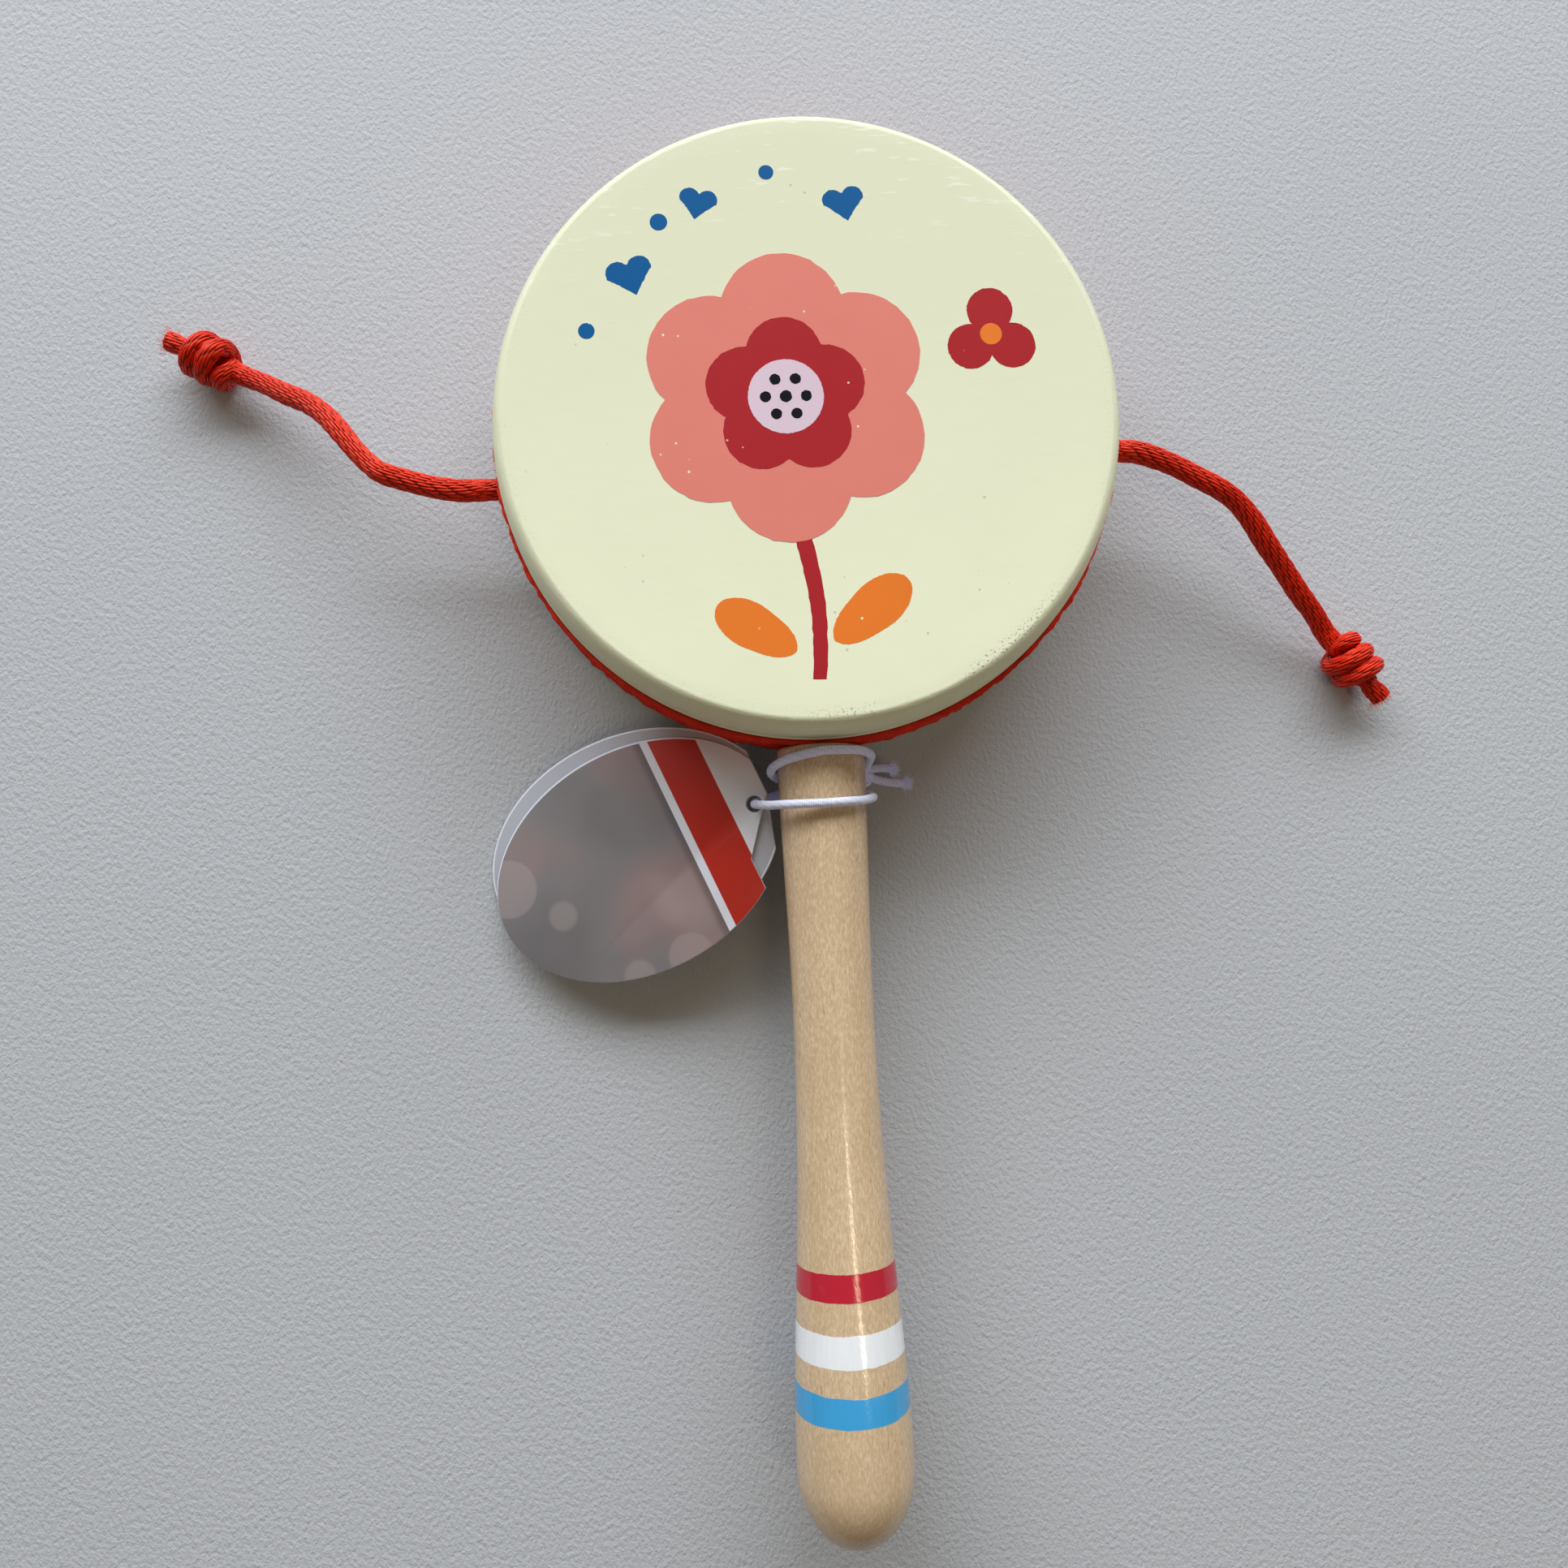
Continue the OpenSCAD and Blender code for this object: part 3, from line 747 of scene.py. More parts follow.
def strands(name, roots, leans, lengths, radius, curl, seed):
    """Loose fibres: each a thin bent strand of three sides from its root along its lean."""
    rng = np.random.default_rng(seed)
    verts, faces = [], []
    for root, lean, length in zip(roots, leans, lengths):
        lean = lean / np.linalg.norm(lean)
        side = np.cross(lean, rng.normal(size=3))
        side /= np.linalg.norm(side)
        bend = rng.normal() * curl * length
        base = len(verts)
        steps = 4
        for s in range(steps):
            t = s / (steps - 1)
            centre = root + lean * length * t + side * bend * t * t
            thick = radius * (1 - 0.75 * t)
            third = np.cross(lean, side)
            for k in range(3):
                a = k * TURN / 3
                verts.append(centre + thick * (math.cos(a) * side + math.sin(a) * third))
        for s in range(steps - 1):
            for k in range(3):
                a, b = base + 3 * s + k, base + 3 * s + (k + 1) % 3
                faces.append((a, b, b + 3, a + 3))
        top = base + 3 * (steps - 1)
        faces += [(base + 2, base + 1, base), (top, top + 1, top + 2)]
    mesh = bpy.data.meshes.new(name)
    mesh.from_pydata([tuple(v) for v in verts], [], faces)
    obj = bpy.data.objects.new(name, mesh)
    bpy.context.scene.collection.objects.link(obj)
    return obj


def barrel_knot(width, length, strand, turns, tail, step):
    """The route and radii of a stopper knot along +Z: in by the core, round it in turns, back and out."""
    wrap = strand * 0.43
    out = width / 2 - wrap
    core = max(out - wrap, strand * 0.2) / 2
    low, high = wrap * 1.05, length - wrap * 1.05
    rows = [(0, 0, -0.5 * strand, strand / 2), (0.1 * core, 0, 0, strand / 2.3), (core, 0, low, core)]
    rows += [(core, 0, high, core), (core * 1.5, -core, length - 0.3 * wrap, wrap * 0.8)]
    count = round(turns * 12)
    for i in range(count + 1):
        t = i / count
        a = -70 * DEG + TURN * turns * t
        swell = out * (1 - 0.12 * (2 * t - 1) ** 2)
        rows.append((swell * math.cos(a), swell * math.sin(a), high + (low - high) * t, wrap))
    rows += [(-core * 1.4, core * 0.5, 0.2 * wrap + low * 0.3, wrap * 0.7), (-core, 0, low * 1.3, core)]
    rows += [(-core, 0, high, core), (-0.3 * core, 0, length - 0.2 * wrap, strand / 2.4)]
    rows += [(0, 0, length + 0.5 * tail, strand / 2.05), (0.02 * strand, 0, length + tail, strand / 2.05)]
    rows = np.array(rows)
    path = smooth_route(rows[:, :3], step)
    stops = travel(rows[:, :3])
    return path, np.interp(travel(path) * stops[-1] / travel(path)[-1], stops, rows[:, 3])


def aimed(path, at, direction, up=(0, 0, 1)):
    """A route along +Z, turned to run from a point along a direction."""
    z = np.array(direction, float)
    z /= np.linalg.norm(z)
    x = np.cross(up, z)
    x /= np.linalg.norm(x)
    return path @ np.stack([x, np.cross(z, x), z]) + np.array(at)


# The frame's own places, as in its source

MID_Z = 15 * MM
FELT_R = 55.9 * MM
CHAMBER_R = 44 * MM
TENON_R = 5 * MM
PIVOT_X = 58.2 * MM
REST_R = 5 * MM
STITCH = 2.9 * MM
STITCH_DEPTH = 0.3 * MM
RIB = 0.37 * MM
RIB_DEPTH = 0.07 * MM

# Each side: 1 on the right and -1 on the left, how far below the middle the cord leaves, its route as in the
# frame: millimetres outwards and upwards from the pivot, and the share of the way down to the floor
SIDES = {
    "left": {
        "sign": -1,
        "exit": 6.4,
        "root": [(0, 0, 0), (4, 0, 0), (8, 0.5, 0), (12, 1.5, 0), (15.2, 2.5, 0)],
        "free": [
            (19.2, 4, 0), (21, 5.5, 0.05), (23.5, 8.2, 0.1), (26.8, 12.5, 0.2), (29.5, 15.8, 0.32),
            (33, 18.9, 0.47), (38.8, 22.3, 0.69), (43.8, 25.4, 0.89), (46.9, 27, 1), (48.8, 28, 1),
        ],
    },
    "right": {
        "sign": 1,
        "exit": 3,
        "root": [(0, 0, 0), (3.5, -0.3, 0), (7.3, -1.6, 0), (11, -3.3, 0), (14.8, -5.5, 0)],
        "free": [
            (18.6, -7.7, 0), (21.7, -9.6, 0.08), (25.1, -12.9, 0.2), (28.6, -17.6, 0.35), (32.2, -21.9, 0.52),
            (35.8, -26.4, 0.69), (39.6, -30.6, 0.87), (42.2, -34.1, 1), (43.5, -35.8, 1),
        ],
    },
}


def route(side, points):
    """Points of a cord's route, from millimetres beside its pivot to places in the frame."""
    s = SIDES[side]
    return [
        (s["sign"] * (PIVOT_X + out * MM), (up - s["exit"]) * MM, MID_Z + down * (REST_R - MID_Z))
        for out, up, down in points
    ]


# The elastic: angle from its knot, lift off the neck in thicknesses, place along the neck as a share
LIFTS = [
    (0, 1.45), (45, 1.4), (90, 1.7), (125, 2.1), (165, 1.2), (205, 0.3), (225, 0),
    (690, 0), (705, 0.5), (720, 1.45),
]
PLACES = [
    (0, 0.36), (45, 0.5), (90, 0.72), (125, 0.9), (165, 0.98), (205, 1), (225, 1), (270, 0.97), (315, 0.87),
    (360, 0.74), (405, 0.6), (450, 0.45), (495, 0.3), (540, 0.14), (585, 0.02), (630, 0.02), (675, 0.1),
    (720, 0.36),
]
KNOT_ANGLE = -45
EYELET_ANGLE = 125
LOOP_REACH = 9.3 * MM
ELASTIC_CLEAR = 0.5 * MM
ELASTIC_GAP = 0.4 * MM


def turn_point(angle, neck, elastic):
    """A point of the elastic's middle line, by the angle that it has gone from its knot."""
    lift = np.interp(angle, *zip(*LIFTS))
    place = np.interp(angle, *zip(*PLACES))
    r = neck / 2 + ELASTIC_GAP + elastic / 2 + elastic * lift
    a = (KNOT_ANGLE - angle) * DEG
    near = -(FELT_R + ELASTIC_CLEAR + elastic / 2)
    return np.array([r * math.cos(a), near - LOOP_REACH * place, MID_Z + r * math.sin(a)])


TAG_TURN = 24 * DEG
TAG_LEAN = 11.6 * DEG
LEAF_SPREAD = 1.1 * DEG
BACK_TURN = 6.2 * DEG
BACK_TRIM = 18 * DEG
FOLD_IN = 1.5 * MM
FOLD_R = 0.15 * MM
EYELET_IN = 3 * MM
EYELET_DOWN = 0.8 * MM
EYELET_R = 1.5 * MM
CUT_IN = 7.9 * MM
CUT_DOWN = 9.4 * MM
# The white edge beside the print and beside the painted shade on the back leaf, and where the ground ends and
# the band lies, from the card's middle towards the fold
CUT_EDGE = 0.35 * MM
GROUND_TO = 9.8 * MM
BAND_FROM_TO = (11.3 * MM, 19.6 * MM)


def tag_place(tag, neck):
    """The matrix from the card's own axes, with x along it and z out of its front, to the object's."""
    fold = tag.length / 2 - FOLD_IN
    return (
        Matrix.Translation(turn_point(EYELET_ANGLE, neck, tag.elastic))
        @ Matrix.Rotation(-TAG_LEAN, 4, "Y")
        @ Matrix.Rotation(TAG_TURN, 4, "Z")
        @ Matrix.Translation((EYELET_IN - fold, EYELET_DOWN, 0))
    )


def head_section(drum):
    """Half a head's section, from the middle of its face to the middle of its recess: (radius, depth)."""
    edge = drum.width / 2
    start, tilt, steps = edge - drum.rounding, 52 * DEG, 14
    rows = [(share * start, 0) for share in (0, 0.3, 0.6, 0.85, 0.96)]
    rows += [
        (start + drum.crest * math.sin(a), drum.crest * (1 - math.cos(a))) for a in np.linspace(0, tilt, 9)
    ]
    here, there = np.array(rows.pop()), np.array((edge, drum.fall))
    arm = np.linalg.norm(there - here) * 0.26
    arms = here + arm * np.array((math.cos(tilt), math.sin(tilt))), there - arm * np.array((0.04, 1))
    for t in np.linspace(0, 1, steps):
        point = (1 - t) ** 3 * here + 3 * t * (1 - t) ** 2 * arms[0]
        rows.append(tuple(point + 3 * t * t * (1 - t) * arms[1] + t**3 * there))
    ease, bead = 0.3 * MM, 0.24 * MM
    low = drum.head_height - ease
    rows += [(edge, low - bead * 1.3), (edge + bead * 0.8, low - bead)]
    rows += [
        (edge + bead - ease + ease * math.cos(a * DEG), low + ease * math.sin(a * DEG))
        for a in (0, 30, 60, 90)
    ]
    return rows + [(edge - drum.rim, drum.head_height), (edge - drum.rim, drum.board), (0, drum.board)]


class RATTLE_OT_heads(bpy.types.Operator):
    """Turned heads with a worn round edge and a recess behind the board"""

    bl_idname = "rattle.heads"
    bl_label = "Drum heads"

    def execute(self, context):
        drum = context.scene.rattle_drum
        lacquer = lacquer_finish(drum.lacquer, drum.width / 2 - drum.rounding)
        for name, face, into in (("front_head", 2 * MID_Z, (0, 0, -1)), ("back_head", 0.0, (0, 0, 1))):
            obj = spun(name + "_lacquered", head_section(drum), (0, 0, face), into, 288)
            dress(obj, "drum", lacquer, [name])
        return {"FINISHED"}


class RATTLE_OT_hoop(bpy.types.Operator):
    """Bare wood for the hoop, which the heads and the felt hide"""

    bl_idname = "rattle.hoop"
    bl_label = "Hoop"

    def execute(self, context):
        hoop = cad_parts["shell_hoop"]
        hoop.data.materials.clear()
        hoop.data.materials.append(wood_finish())
        return {"FINISHED"}


class RATTLE_OT_felt(bpy.types.Operator):
    """Felt band with its nap, with holes for the cords and the handle"""

    bl_idname = "rattle.felt"
    bl_label = "Felt band"

    # Each layer of lumps, as width and height
    LUMPS = ((2.4 * MM, 1.2 * MM), (0.8 * MM, 0.2 * MM))
    # The slanted ridges: their height, how far apart they are, their lean over the band, and their sway
    RIDGE = 0.12 * MM
    RIDGE_APART = 2.1 * MM
    RIDGE_LEAN = 2.2 * MM
    RIDGE_SWAY = 4.7 * MM
    # How far the band leans out at the lower right
    LEAN_OUT = 0.22 * MM
    # How many fibres the nap has, the room that it leaves round each cord and the neck, and the stretch
    # that it leaves by the tag
    FIBRES = 4200
    CORD_ROOM = 3.4 * MM
    NECK_ROOM = 8.8 * MM
    BY_TAG = (-42 * MM, -7 * MM)

    def band(self, drum, cords, low, high):
        """The band between two heights, lumpy and ridged, without the cords' and the handle's holes."""
        obj = primitive(
            bpy.ops.mesh.primitive_cylinder_add,
            "felt_nap_band",
            vertices=1100,
            radius=FELT_R - drum.felt,
            depth=high - low,
            end_fill_type="NOTHING",
            location=(0, 0, MID_Z),
        )
        modify(obj, "SOLIDIFY", thickness=drum.felt, offset=1.0, use_even_offset=True)
        cord_r, tenon_r, depth = cords.width / 2 + 0.1 * MM, TENON_R + 0.05 * MM, 12 * MM
        cutters = [
            drill(48, cord_r, depth, (s["sign"] * FELT_R, -s["exit"] * MM, MID_Z), (0, math.pi / 2, 0))
            for s in SIDES.values()
        ]
        cutters.append(drill(64, tenon_r, depth, (0, -FELT_R, MID_Z), (math.pi / 2, 0, 0)))
        settle(obj)
        edit(obj)
        bpy.ops.mesh.select_mode(type="EDGE")
        bpy.ops.mesh.select_all(action="DESELECT")
        mesh = bmesh.from_edit_mesh(obj.data)
        for e in mesh.edges:
            a, b = (v.co for v in e.verts)
            e.select_set(abs(a.z - b.z) > high - low - 1e-6)
        bmesh.update_edit_mesh(obj.data)
        bpy.ops.mesh.subdivide(number_cuts=13)
        carve(settle(obj), *cutters)
        for width, height in self.LUMPS:
            lumps = bpy.data.textures.new("felt_lumps", "CLOUDS")
            lumps.noise_scale = width
            lumps.noise_depth = 1
            modify(obj, "DISPLACE", texture=lumps, strength=height, mid_level=0.55)
        points = np.zeros(len(obj.data.vertices) * 3)
        obj.data.vertices.foreach_get("co", points)
        points = points.reshape(-1, 3)
        x, y, z = points.T
        radius, around = np.hypot(x, y), np.arctan2(y, x) * FELT_R
        sway = 0.6 * np.sin(around / self.RIDGE_SWAY)
        slant = around / self.RIDGE_APART - (z - MID_Z) / self.RIDGE_LEAN + sway
        raised = self.RIDGE * (np.abs(np.sin(math.pi * slant)) ** 0.7 - 0.8)
        lower_right = np.cos(around / FELT_R + 50 * DEG)
        raised += self.LEAN_OUT * lower_right * np.abs(lower_right)
        raised[radius < FELT_R - drum.felt / 2] = 0
        points[:, :2] *= (1 + raised / radius)[:, None]
        obj.data.vertices.foreach_set("co", points.ravel())
        return obj

    def bare(self, root):
        """Where no fibre grows: round the cords and the handle, and low down beside the tag."""
        x, y, z = root
        for s in SIDES.values():
            if x * s["sign"] >= 0 and math.hypot(y + s["exit"] * MM, z - MID_Z) <= self.CORD_ROOM:
                return True
        if y > 0:
            return False
        by_tag = self.BY_TAG[0] < x < self.BY_TAG[1] and z <= MID_Z
        return by_tag or math.hypot(x, z - MID_Z) <= self.NECK_ROOM

    def nap(self, low, high):
        """Loose fibres all over the band, about a third of them along its two edges."""
        rng = np.random.default_rng(5)
        count = self.FIBRES
        angle = rng.random(count) * TURN
        at_edge = rng.random(count) < 0.35
        height = np.where(at_edge, rng.choice([low, high], count), rng.uniform(low, high, count))
        roots = np.stack([FELT_R * np.cos(angle), FELT_R * np.sin(angle), height], 1)
        outward = np.stack([np.cos(angle), np.sin(angle), np.zeros(count)], 1)
        tangent = np.stack([-np.sin(angle), np.cos(angle), np.zeros(count)], 1)
        roll = rng.random(count) * TURN
        flat = tangent * np.cos(roll)[:, None] + np.array([0, 0, 1]) * (np.sin(roll) * 0.7)[:, None]
        leans = flat + outward * rng.uniform(0.05, 0.7, count)[:, None]
        lengths = rng.uniform(0.3, 0.95, count) * MM
        keep = [not self.bare(root) for root in roots]
        roots = roots - outward * 0.15 * MM
        return strands("felt_loose_fibres", roots[keep], leans[keep], lengths[keep], 0.025 * MM, 0.4, 8)

    def execute(self, context):
        scene = context.scene
        drum = scene.rattle_drum
        low, high = (corner.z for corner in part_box("felt_band"))
        band = self.band(drum, scene.rattle_cords, low, high)
        felt = felt_finish(drum.felt_colour, (high - low) / 2, drum.width / 2)
        dress(band, "drum", felt, ["felt_band"], 60)
        nap = self.nap(low, high)
        dress(nap, "drum", fibre_finish("felt_fibres", drum.felt_colour), (), 60)
        return {"FINISHED"}


class RATTLE_OT_handle(bpy.types.Operator):
    """Turned maple handle with its tenon"""

    bl_idname = "rattle.handle"
    bl_label = "Handle"

    def execute(self, context):
        scene = context.scene
        h = scene.rattle_handle
        shoulder = FELT_R + 0.05 * MM
        tenon_l, ease = shoulder - CHAMBER_R + 1 * MM, 0.8 * MM

        def eased(r_from, r_to, at_from, at_to, share_from, share_to, steps):
            """A smooth stretch between two radii, level at both ends."""
            reach = at_to - at_from
            for i in range(steps + 1):
                t = i / steps
                w = ((1 - t) ** 3, 3 * t * (1 - t) ** 2, 3 * t * t * (1 - t), t**3)
                r = (w[0] + w[1]) * r_from + (w[2] + w[3]) * r_to
                at = w[0] * at_from + w[1] * (at_from + share_from * reach)
                yield r, at + w[2] * (at_to - share_to * reach) + w[3] * at_to

        grip_at = h.length - h.end
        profile = [(0, -tenon_l), (TENON_R - ease, -tenon_l), (TENON_R, ease - tenon_l), (TENON_R, 0)]
        profile += [
            (h.neck / 2 - ease + ease * math.sin(a * DEG), ease - ease * math.cos(a * DEG))
            for a in range(0, 91, 15)
        ]
        profile += eased(h.neck / 2, h.waist / 2, 2 * ease, h.waist_at, 0.35, 0.35, 40)
        profile += list(eased(h.waist / 2, h.grip / 2, h.waist_at, grip_at, 0.5, 0.3, 60))[1:]
        profile += [
            (h.grip / 2 * math.cos(a * DEG), grip_at + h.end * math.sin(a * DEG)) for a in range(5, 91, 5)
        ]
        profile = [(max(r, 0.0), at + shoulder) for r, at in profile]
        obj = spun("handle_turned", profile, (0, 0, MID_Z), (0, -1, 0), 144)
        dress(obj, "drum", handle_finish(h), ["handle"])
        return {"FINISHED"}


class RATTLE_OT_cords(bpy.types.Operator):
    """Both satin cords, with their stop knots, the stretch in the hole and the knotted balls"""

    bl_idname = "rattle.cords"
    bl_label = "Cords and pellets"

    FIBRES = 90
    BALL_TURNS = 2.25
    STOP_TURNS = 1.6
    STOP_LENGTH = 7.4 * MM

    def execute(self, context):
        scene = context.scene
        cords = scene.rattle_cords
        satin = satin_finish(cords.satin)
        ends = fibre_finish("cord_fibres", cords.satin)
        r, step = cords.width / 2, 0.15 * MM
        for seed, (side, s) in enumerate(SIDES.items()):
            sign, y = s["sign"], -s["exit"] * MM
            points = route(side, s["root"] + s["free"])
            points[-1] = tuple(np.array(points[-1]) + (np.array(points[-1]) - np.array(points[-2])) * 0.35)
            path = smooth_route(points, step)
            distance = travel(path)
            ripple = 1 + 0.03 * np.sin(distance / (5.1 * MM) + seed) + 0.02 * np.sin(distance / (2.3 * MM))
            cord = lay_tube(
                "satin_cord_" + side, path, r * ripple, 154, knit, STITCH_DEPTH, 22, STITCH, seed * 2.0
            )
            dress(cord, None, satin, ["cord_root_" + side, "cord_" + side], 60)

            before, at = route(side, s["free"][-2:])
            way = Vector(at) - Vector(before)
            way.z = 0
            knot, radii = barrel_knot(
                cords.ball, cords.ball_length, cords.width, self.BALL_TURNS, cords.tail, step
            )
            knot = aimed(knot, at, way)
            ball = lay_tube(
                "knotted_ball_" + side, knot, radii, 126, knit, STITCH_DEPTH, 18, STITCH, 5.0 + seed
            )
            rng = np.random.default_rng(20 + seed)
            onward = np.array(way.normalized())
            tip = np.array(at) + onward * (cords.ball_length + cords.tail)
            spread = rng.normal(size=(self.FIBRES, 3)) * 0.55 * r
            spread -= np.outer(spread @ onward, onward)
            fray = strands(
                "frayed_end_" + side, tip + spread - onward * 0.3 * MM, onward + spread / r * 0.35,
                rng.uniform(0.8, 1.6, self.FIBRES) * MM, 0.05 * MM, 0.25, 30 + seed,
            )
            dress(ball, side + "_pellet", satin, ["pellet_" + side], 60)
            dress(fray, side + "_pellet", ends, (), 60)

            wall = math.sqrt(CHAMBER_R**2 - (s["exit"] * MM + cords.stop_knot / 2) ** 2)
            stop, stop_radii = barrel_knot(
                cords.stop_knot, self.STOP_LENGTH, cords.width * 0.92, self.STOP_TURNS, cords.tail, step * 2
            )
            stop = aimed(stop, (sign * wall, y, MID_Z), (-sign, 0, 0))
            inwards = np.arange(PIVOT_X + 2.4 * MM, wall + 1.4 * MM, -step * 1.5)
            stub = np.array([(sign * x, y, MID_Z) for x in inwards])
            inner = lay_tube(
                "cord_start_" + side,
                np.concatenate([stub, stop[4:]]),
                np.concatenate([np.full(len(stub), r * 0.985), stop_radii[4:]]),
                110, knit, STITCH_DEPTH, 22, STITCH, seed * 2.0,
            )
            dress(inner, None, satin, ["cord_anchor_" + side], 60)
            bends_from, bends_to = (sign * 56.3 * MM, y, MID_Z), (sign * 60.4 * MM, y, MID_Z)
            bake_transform(inner)

            before, knee = (np.array(point) for point in route(side, [s["root"][-1], s["free"][0]]))
            ahead = (knee - before) / np.linalg.norm(knee - before) * 5 * MM
            tuple(knee - ahead)
            tuple(knee + ahead)
            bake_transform(cord)
        return {"FINISHED"}


class RATTLE_OT_elastic(bpy.types.Operator):
    """Elastic with a wound cover: two turns round the neck, through the eyelet, knotted behind"""

    bl_idname = "rattle.elastic"
    bl_label = "Elastic"

    # The cut ends: bearing from +X in degrees, length, how far it bows. Then the fibres of each
    TAILS = ((-14, 9 * MM, -0.5 * MM), (6, 6 * MM, 0.6 * MM))
    FIBRES = 260

    def execute(self, context):
        scene = context.scene
        tag, neck = scene.rattle_tag, scene.rattle_handle.neck
        r = tag.elastic / 2
        loops = smooth_route([turn_point(a, neck, tag.elastic) for a in range(3, 720, 6)], RIB / 6)
        obj = lay_tube("neck_elastic", loops, r, 24, wound, RIB_DEPTH, 1, RIB)
        knot = turn_point(0, neck, tag.elastic)
        parts = []
        for bearing, tail, bend in self.TAILS:
            way = np.array([math.cos(bearing * DEG), math.sin(bearing * DEG), 0.0])
            bow = np.array([-way[1], way[0], 0.35]) * bend
            line = [knot + way * tail * t + bow * math.sin(math.pi * t) for t in np.linspace(0.05, 0.93, 7)]
            route_out = smooth_route(line, RIB / 6)
            parts.append(lay_tube("tail", route_out, r * 0.95, 24, wound, RIB_DEPTH, 1, RIB))
        path, radii = barrel_knot(tag.knot, tag.knot, tag.elastic * 0.95, 1.75, 0.3 * MM, RIB / 5)
        path = aimed(path - np.array([0, 0, tag.knot / 2]), knot, (0.35, -1, 0.2))
        parts.append(lay_tube("knot", path, radii, 24, wound, RIB_DEPTH, 1, RIB, 0.4))
        join(obj, *parts)
        dress(obj, "tag_loop", elastic_finish(), ["tag_elastic"], 60)
        rng = np.random.default_rng(11)
        roots, leans, lengths = [], [], []
        for bearing, tail, _ in self.TAILS:
            way = np.array([math.cos(bearing * DEG), math.sin(bearing * DEG), 0.0])
            for _ in range(self.FIBRES):
                off = rng.normal(size=3) * r * 0.42
                off -= way * (off @ way)
                roots.append(knot + way * tail * 0.9 + off)
                leans.append(way + off / r * 0.6 + rng.normal(size=3) * 0.2)
                lengths.append(rng.uniform(0.6, 2.1) * MM)
        fray = strands("elastic_frayed_ends", np.array(roots), np.array(leans), lengths, 0.05 * MM, 0.35, 12)
        yarn = fibre_finish("elastic_fibres", srgb(236, 238, 255), **PAINTED_BLUE_GLOW)
        dress(fray, "tag_loop", yarn, (), 60)
        return {"FINISHED"}


class RATTLE_OT_tag(bpy.types.Operator):
    """Folded oval card with its eyelet"""

    bl_idname = "rattle.tag"
    bl_label = "Hang tag"

    def leaf(self, tag, fold, turn, cut, name):
        """An oval of card from its end to the fold, without the eyelet and what is cut off below the fold."""
        obj = primitive(bpy.ops.mesh.primitive_circle_add, name, vertices=180, radius=1.0, fill_type="NGON")
        edit(obj)
        bpy.ops.transform.resize(value=(tag.length / 2, tag.width / 2, 1))
        bpy.ops.transform.translate(value=(-fold, 0, 0))
        mesh = bmesh.from_edit_mesh(obj.data)
        bmesh.ops.rotate(mesh, cent=(0, 0, 0), matrix=Matrix.Rotation(-turn, 3, "Z"), verts=mesh.verts)
        bmesh.ops.translate(mesh, vec=(fold, 0, 0), verts=mesh.verts)
        bmesh.update_edit_mesh(obj.data)
        bpy.ops.mesh.bisect(plane_co=(fold, 0, 0), plane_no=(1, 0, 0), use_fill=False, clear_outer=True)
        thicken(tag.card)
        settle(obj)
        wedge = plate("cut", cut, -1 * MM, 3 * MM)
        return carve(obj, wedge, drill(40, EYELET_R, 4 * MM, (fold - EYELET_IN, -EYELET_DOWN, 0)))

    def execute(self, context):
        scene = context.scene
        tag, neck = scene.rattle_tag, scene.rattle_handle.neck
        fold = tag.length / 2 - FOLD_IN
        far = tag.width
        outside = [(fold, 0), (tag.length, 0), (tag.length, -far)]
        notch = [(fold - CUT_IN, -far), (fold - CUT_IN, -CUT_DOWN), *outside]
        trim = [(fold - far * math.tan(BACK_TRIM), -far), *outside]
        front = self.leaf(tag, fold, 0.0, notch, "front_leaf")
        back = self.leaf(tag, fold, BACK_TURN, trim, "back_leaf")
        top = tag.width / 2 * math.sqrt(1 - (fold / (tag.length / 2)) ** 2)
        bend = primitive(bpy.ops.mesh.primitive_plane_add, "fold_strip", size=1.0)
        edit(bend)
        place_points(bend, [(fold, y, z) for z in (FOLD_R, FOLD_R + tag.card) for y in (0, top)])
        bpy.ops.mesh.select_all(action="SELECT")
        bpy.ops.mesh.spin(steps=12, angle=math.pi, center=(fold, 0, 0), axis=(0, 1, 0))
        face_outwards()
        settle(bend)
        place = tag_place(tag, neck)
        front.data.transform(Matrix.Translation((0, 0, FOLD_R)))
        hinge = (
            Matrix.Translation((fold, 0, 0))
            @ Matrix.Rotation(-LEAF_SPREAD, 4, "Y")
            @ Matrix.Translation((-fold, 0, -FOLD_R - tag.card))
        )
        back.data.transform(hinge)
        for leaf in (front, back):
            modify(leaf, "BEVEL", width=0.17 * MM, segments=3, limit_method="ANGLE", angle_limit=60 * DEG)
        join(back, bend)
        for obj in (front, back):
            obj.data.transform(place)
        to_fold = Matrix.Translation((fold, 0, 0))
        swung = place @ hinge @ to_fold @ Matrix.Rotation(-BACK_TURN, 4, "Z") @ to_fold.inverted()
        for leaf, own, printed, node in ((back, swung, False, ["hang_tag"]), (front, place, True, ())):
            inverse = own.inverted()
            to_leaf = (tuple(inverse.translation), tuple(inverse.to_euler("XYZ")))
            dress(leaf, "tag", card_finish(tag, to_leaf, printed), node, 30)
        back.name, front.name = "tag_back_leaf", "tag_front_leaf"
        return {"FINISHED"}


def petal_edge(lobes, reach, lobe_r):
    """The outline of a flower of round petals, as a distance at each angle."""
    def edge(angle):
        off = (angle + math.pi / lobes) % (TURN / lobes) - math.pi / lobes
        return reach * math.cos(off) + math.sqrt(lobe_r**2 - (reach * math.sin(off)) ** 2)
    return edge


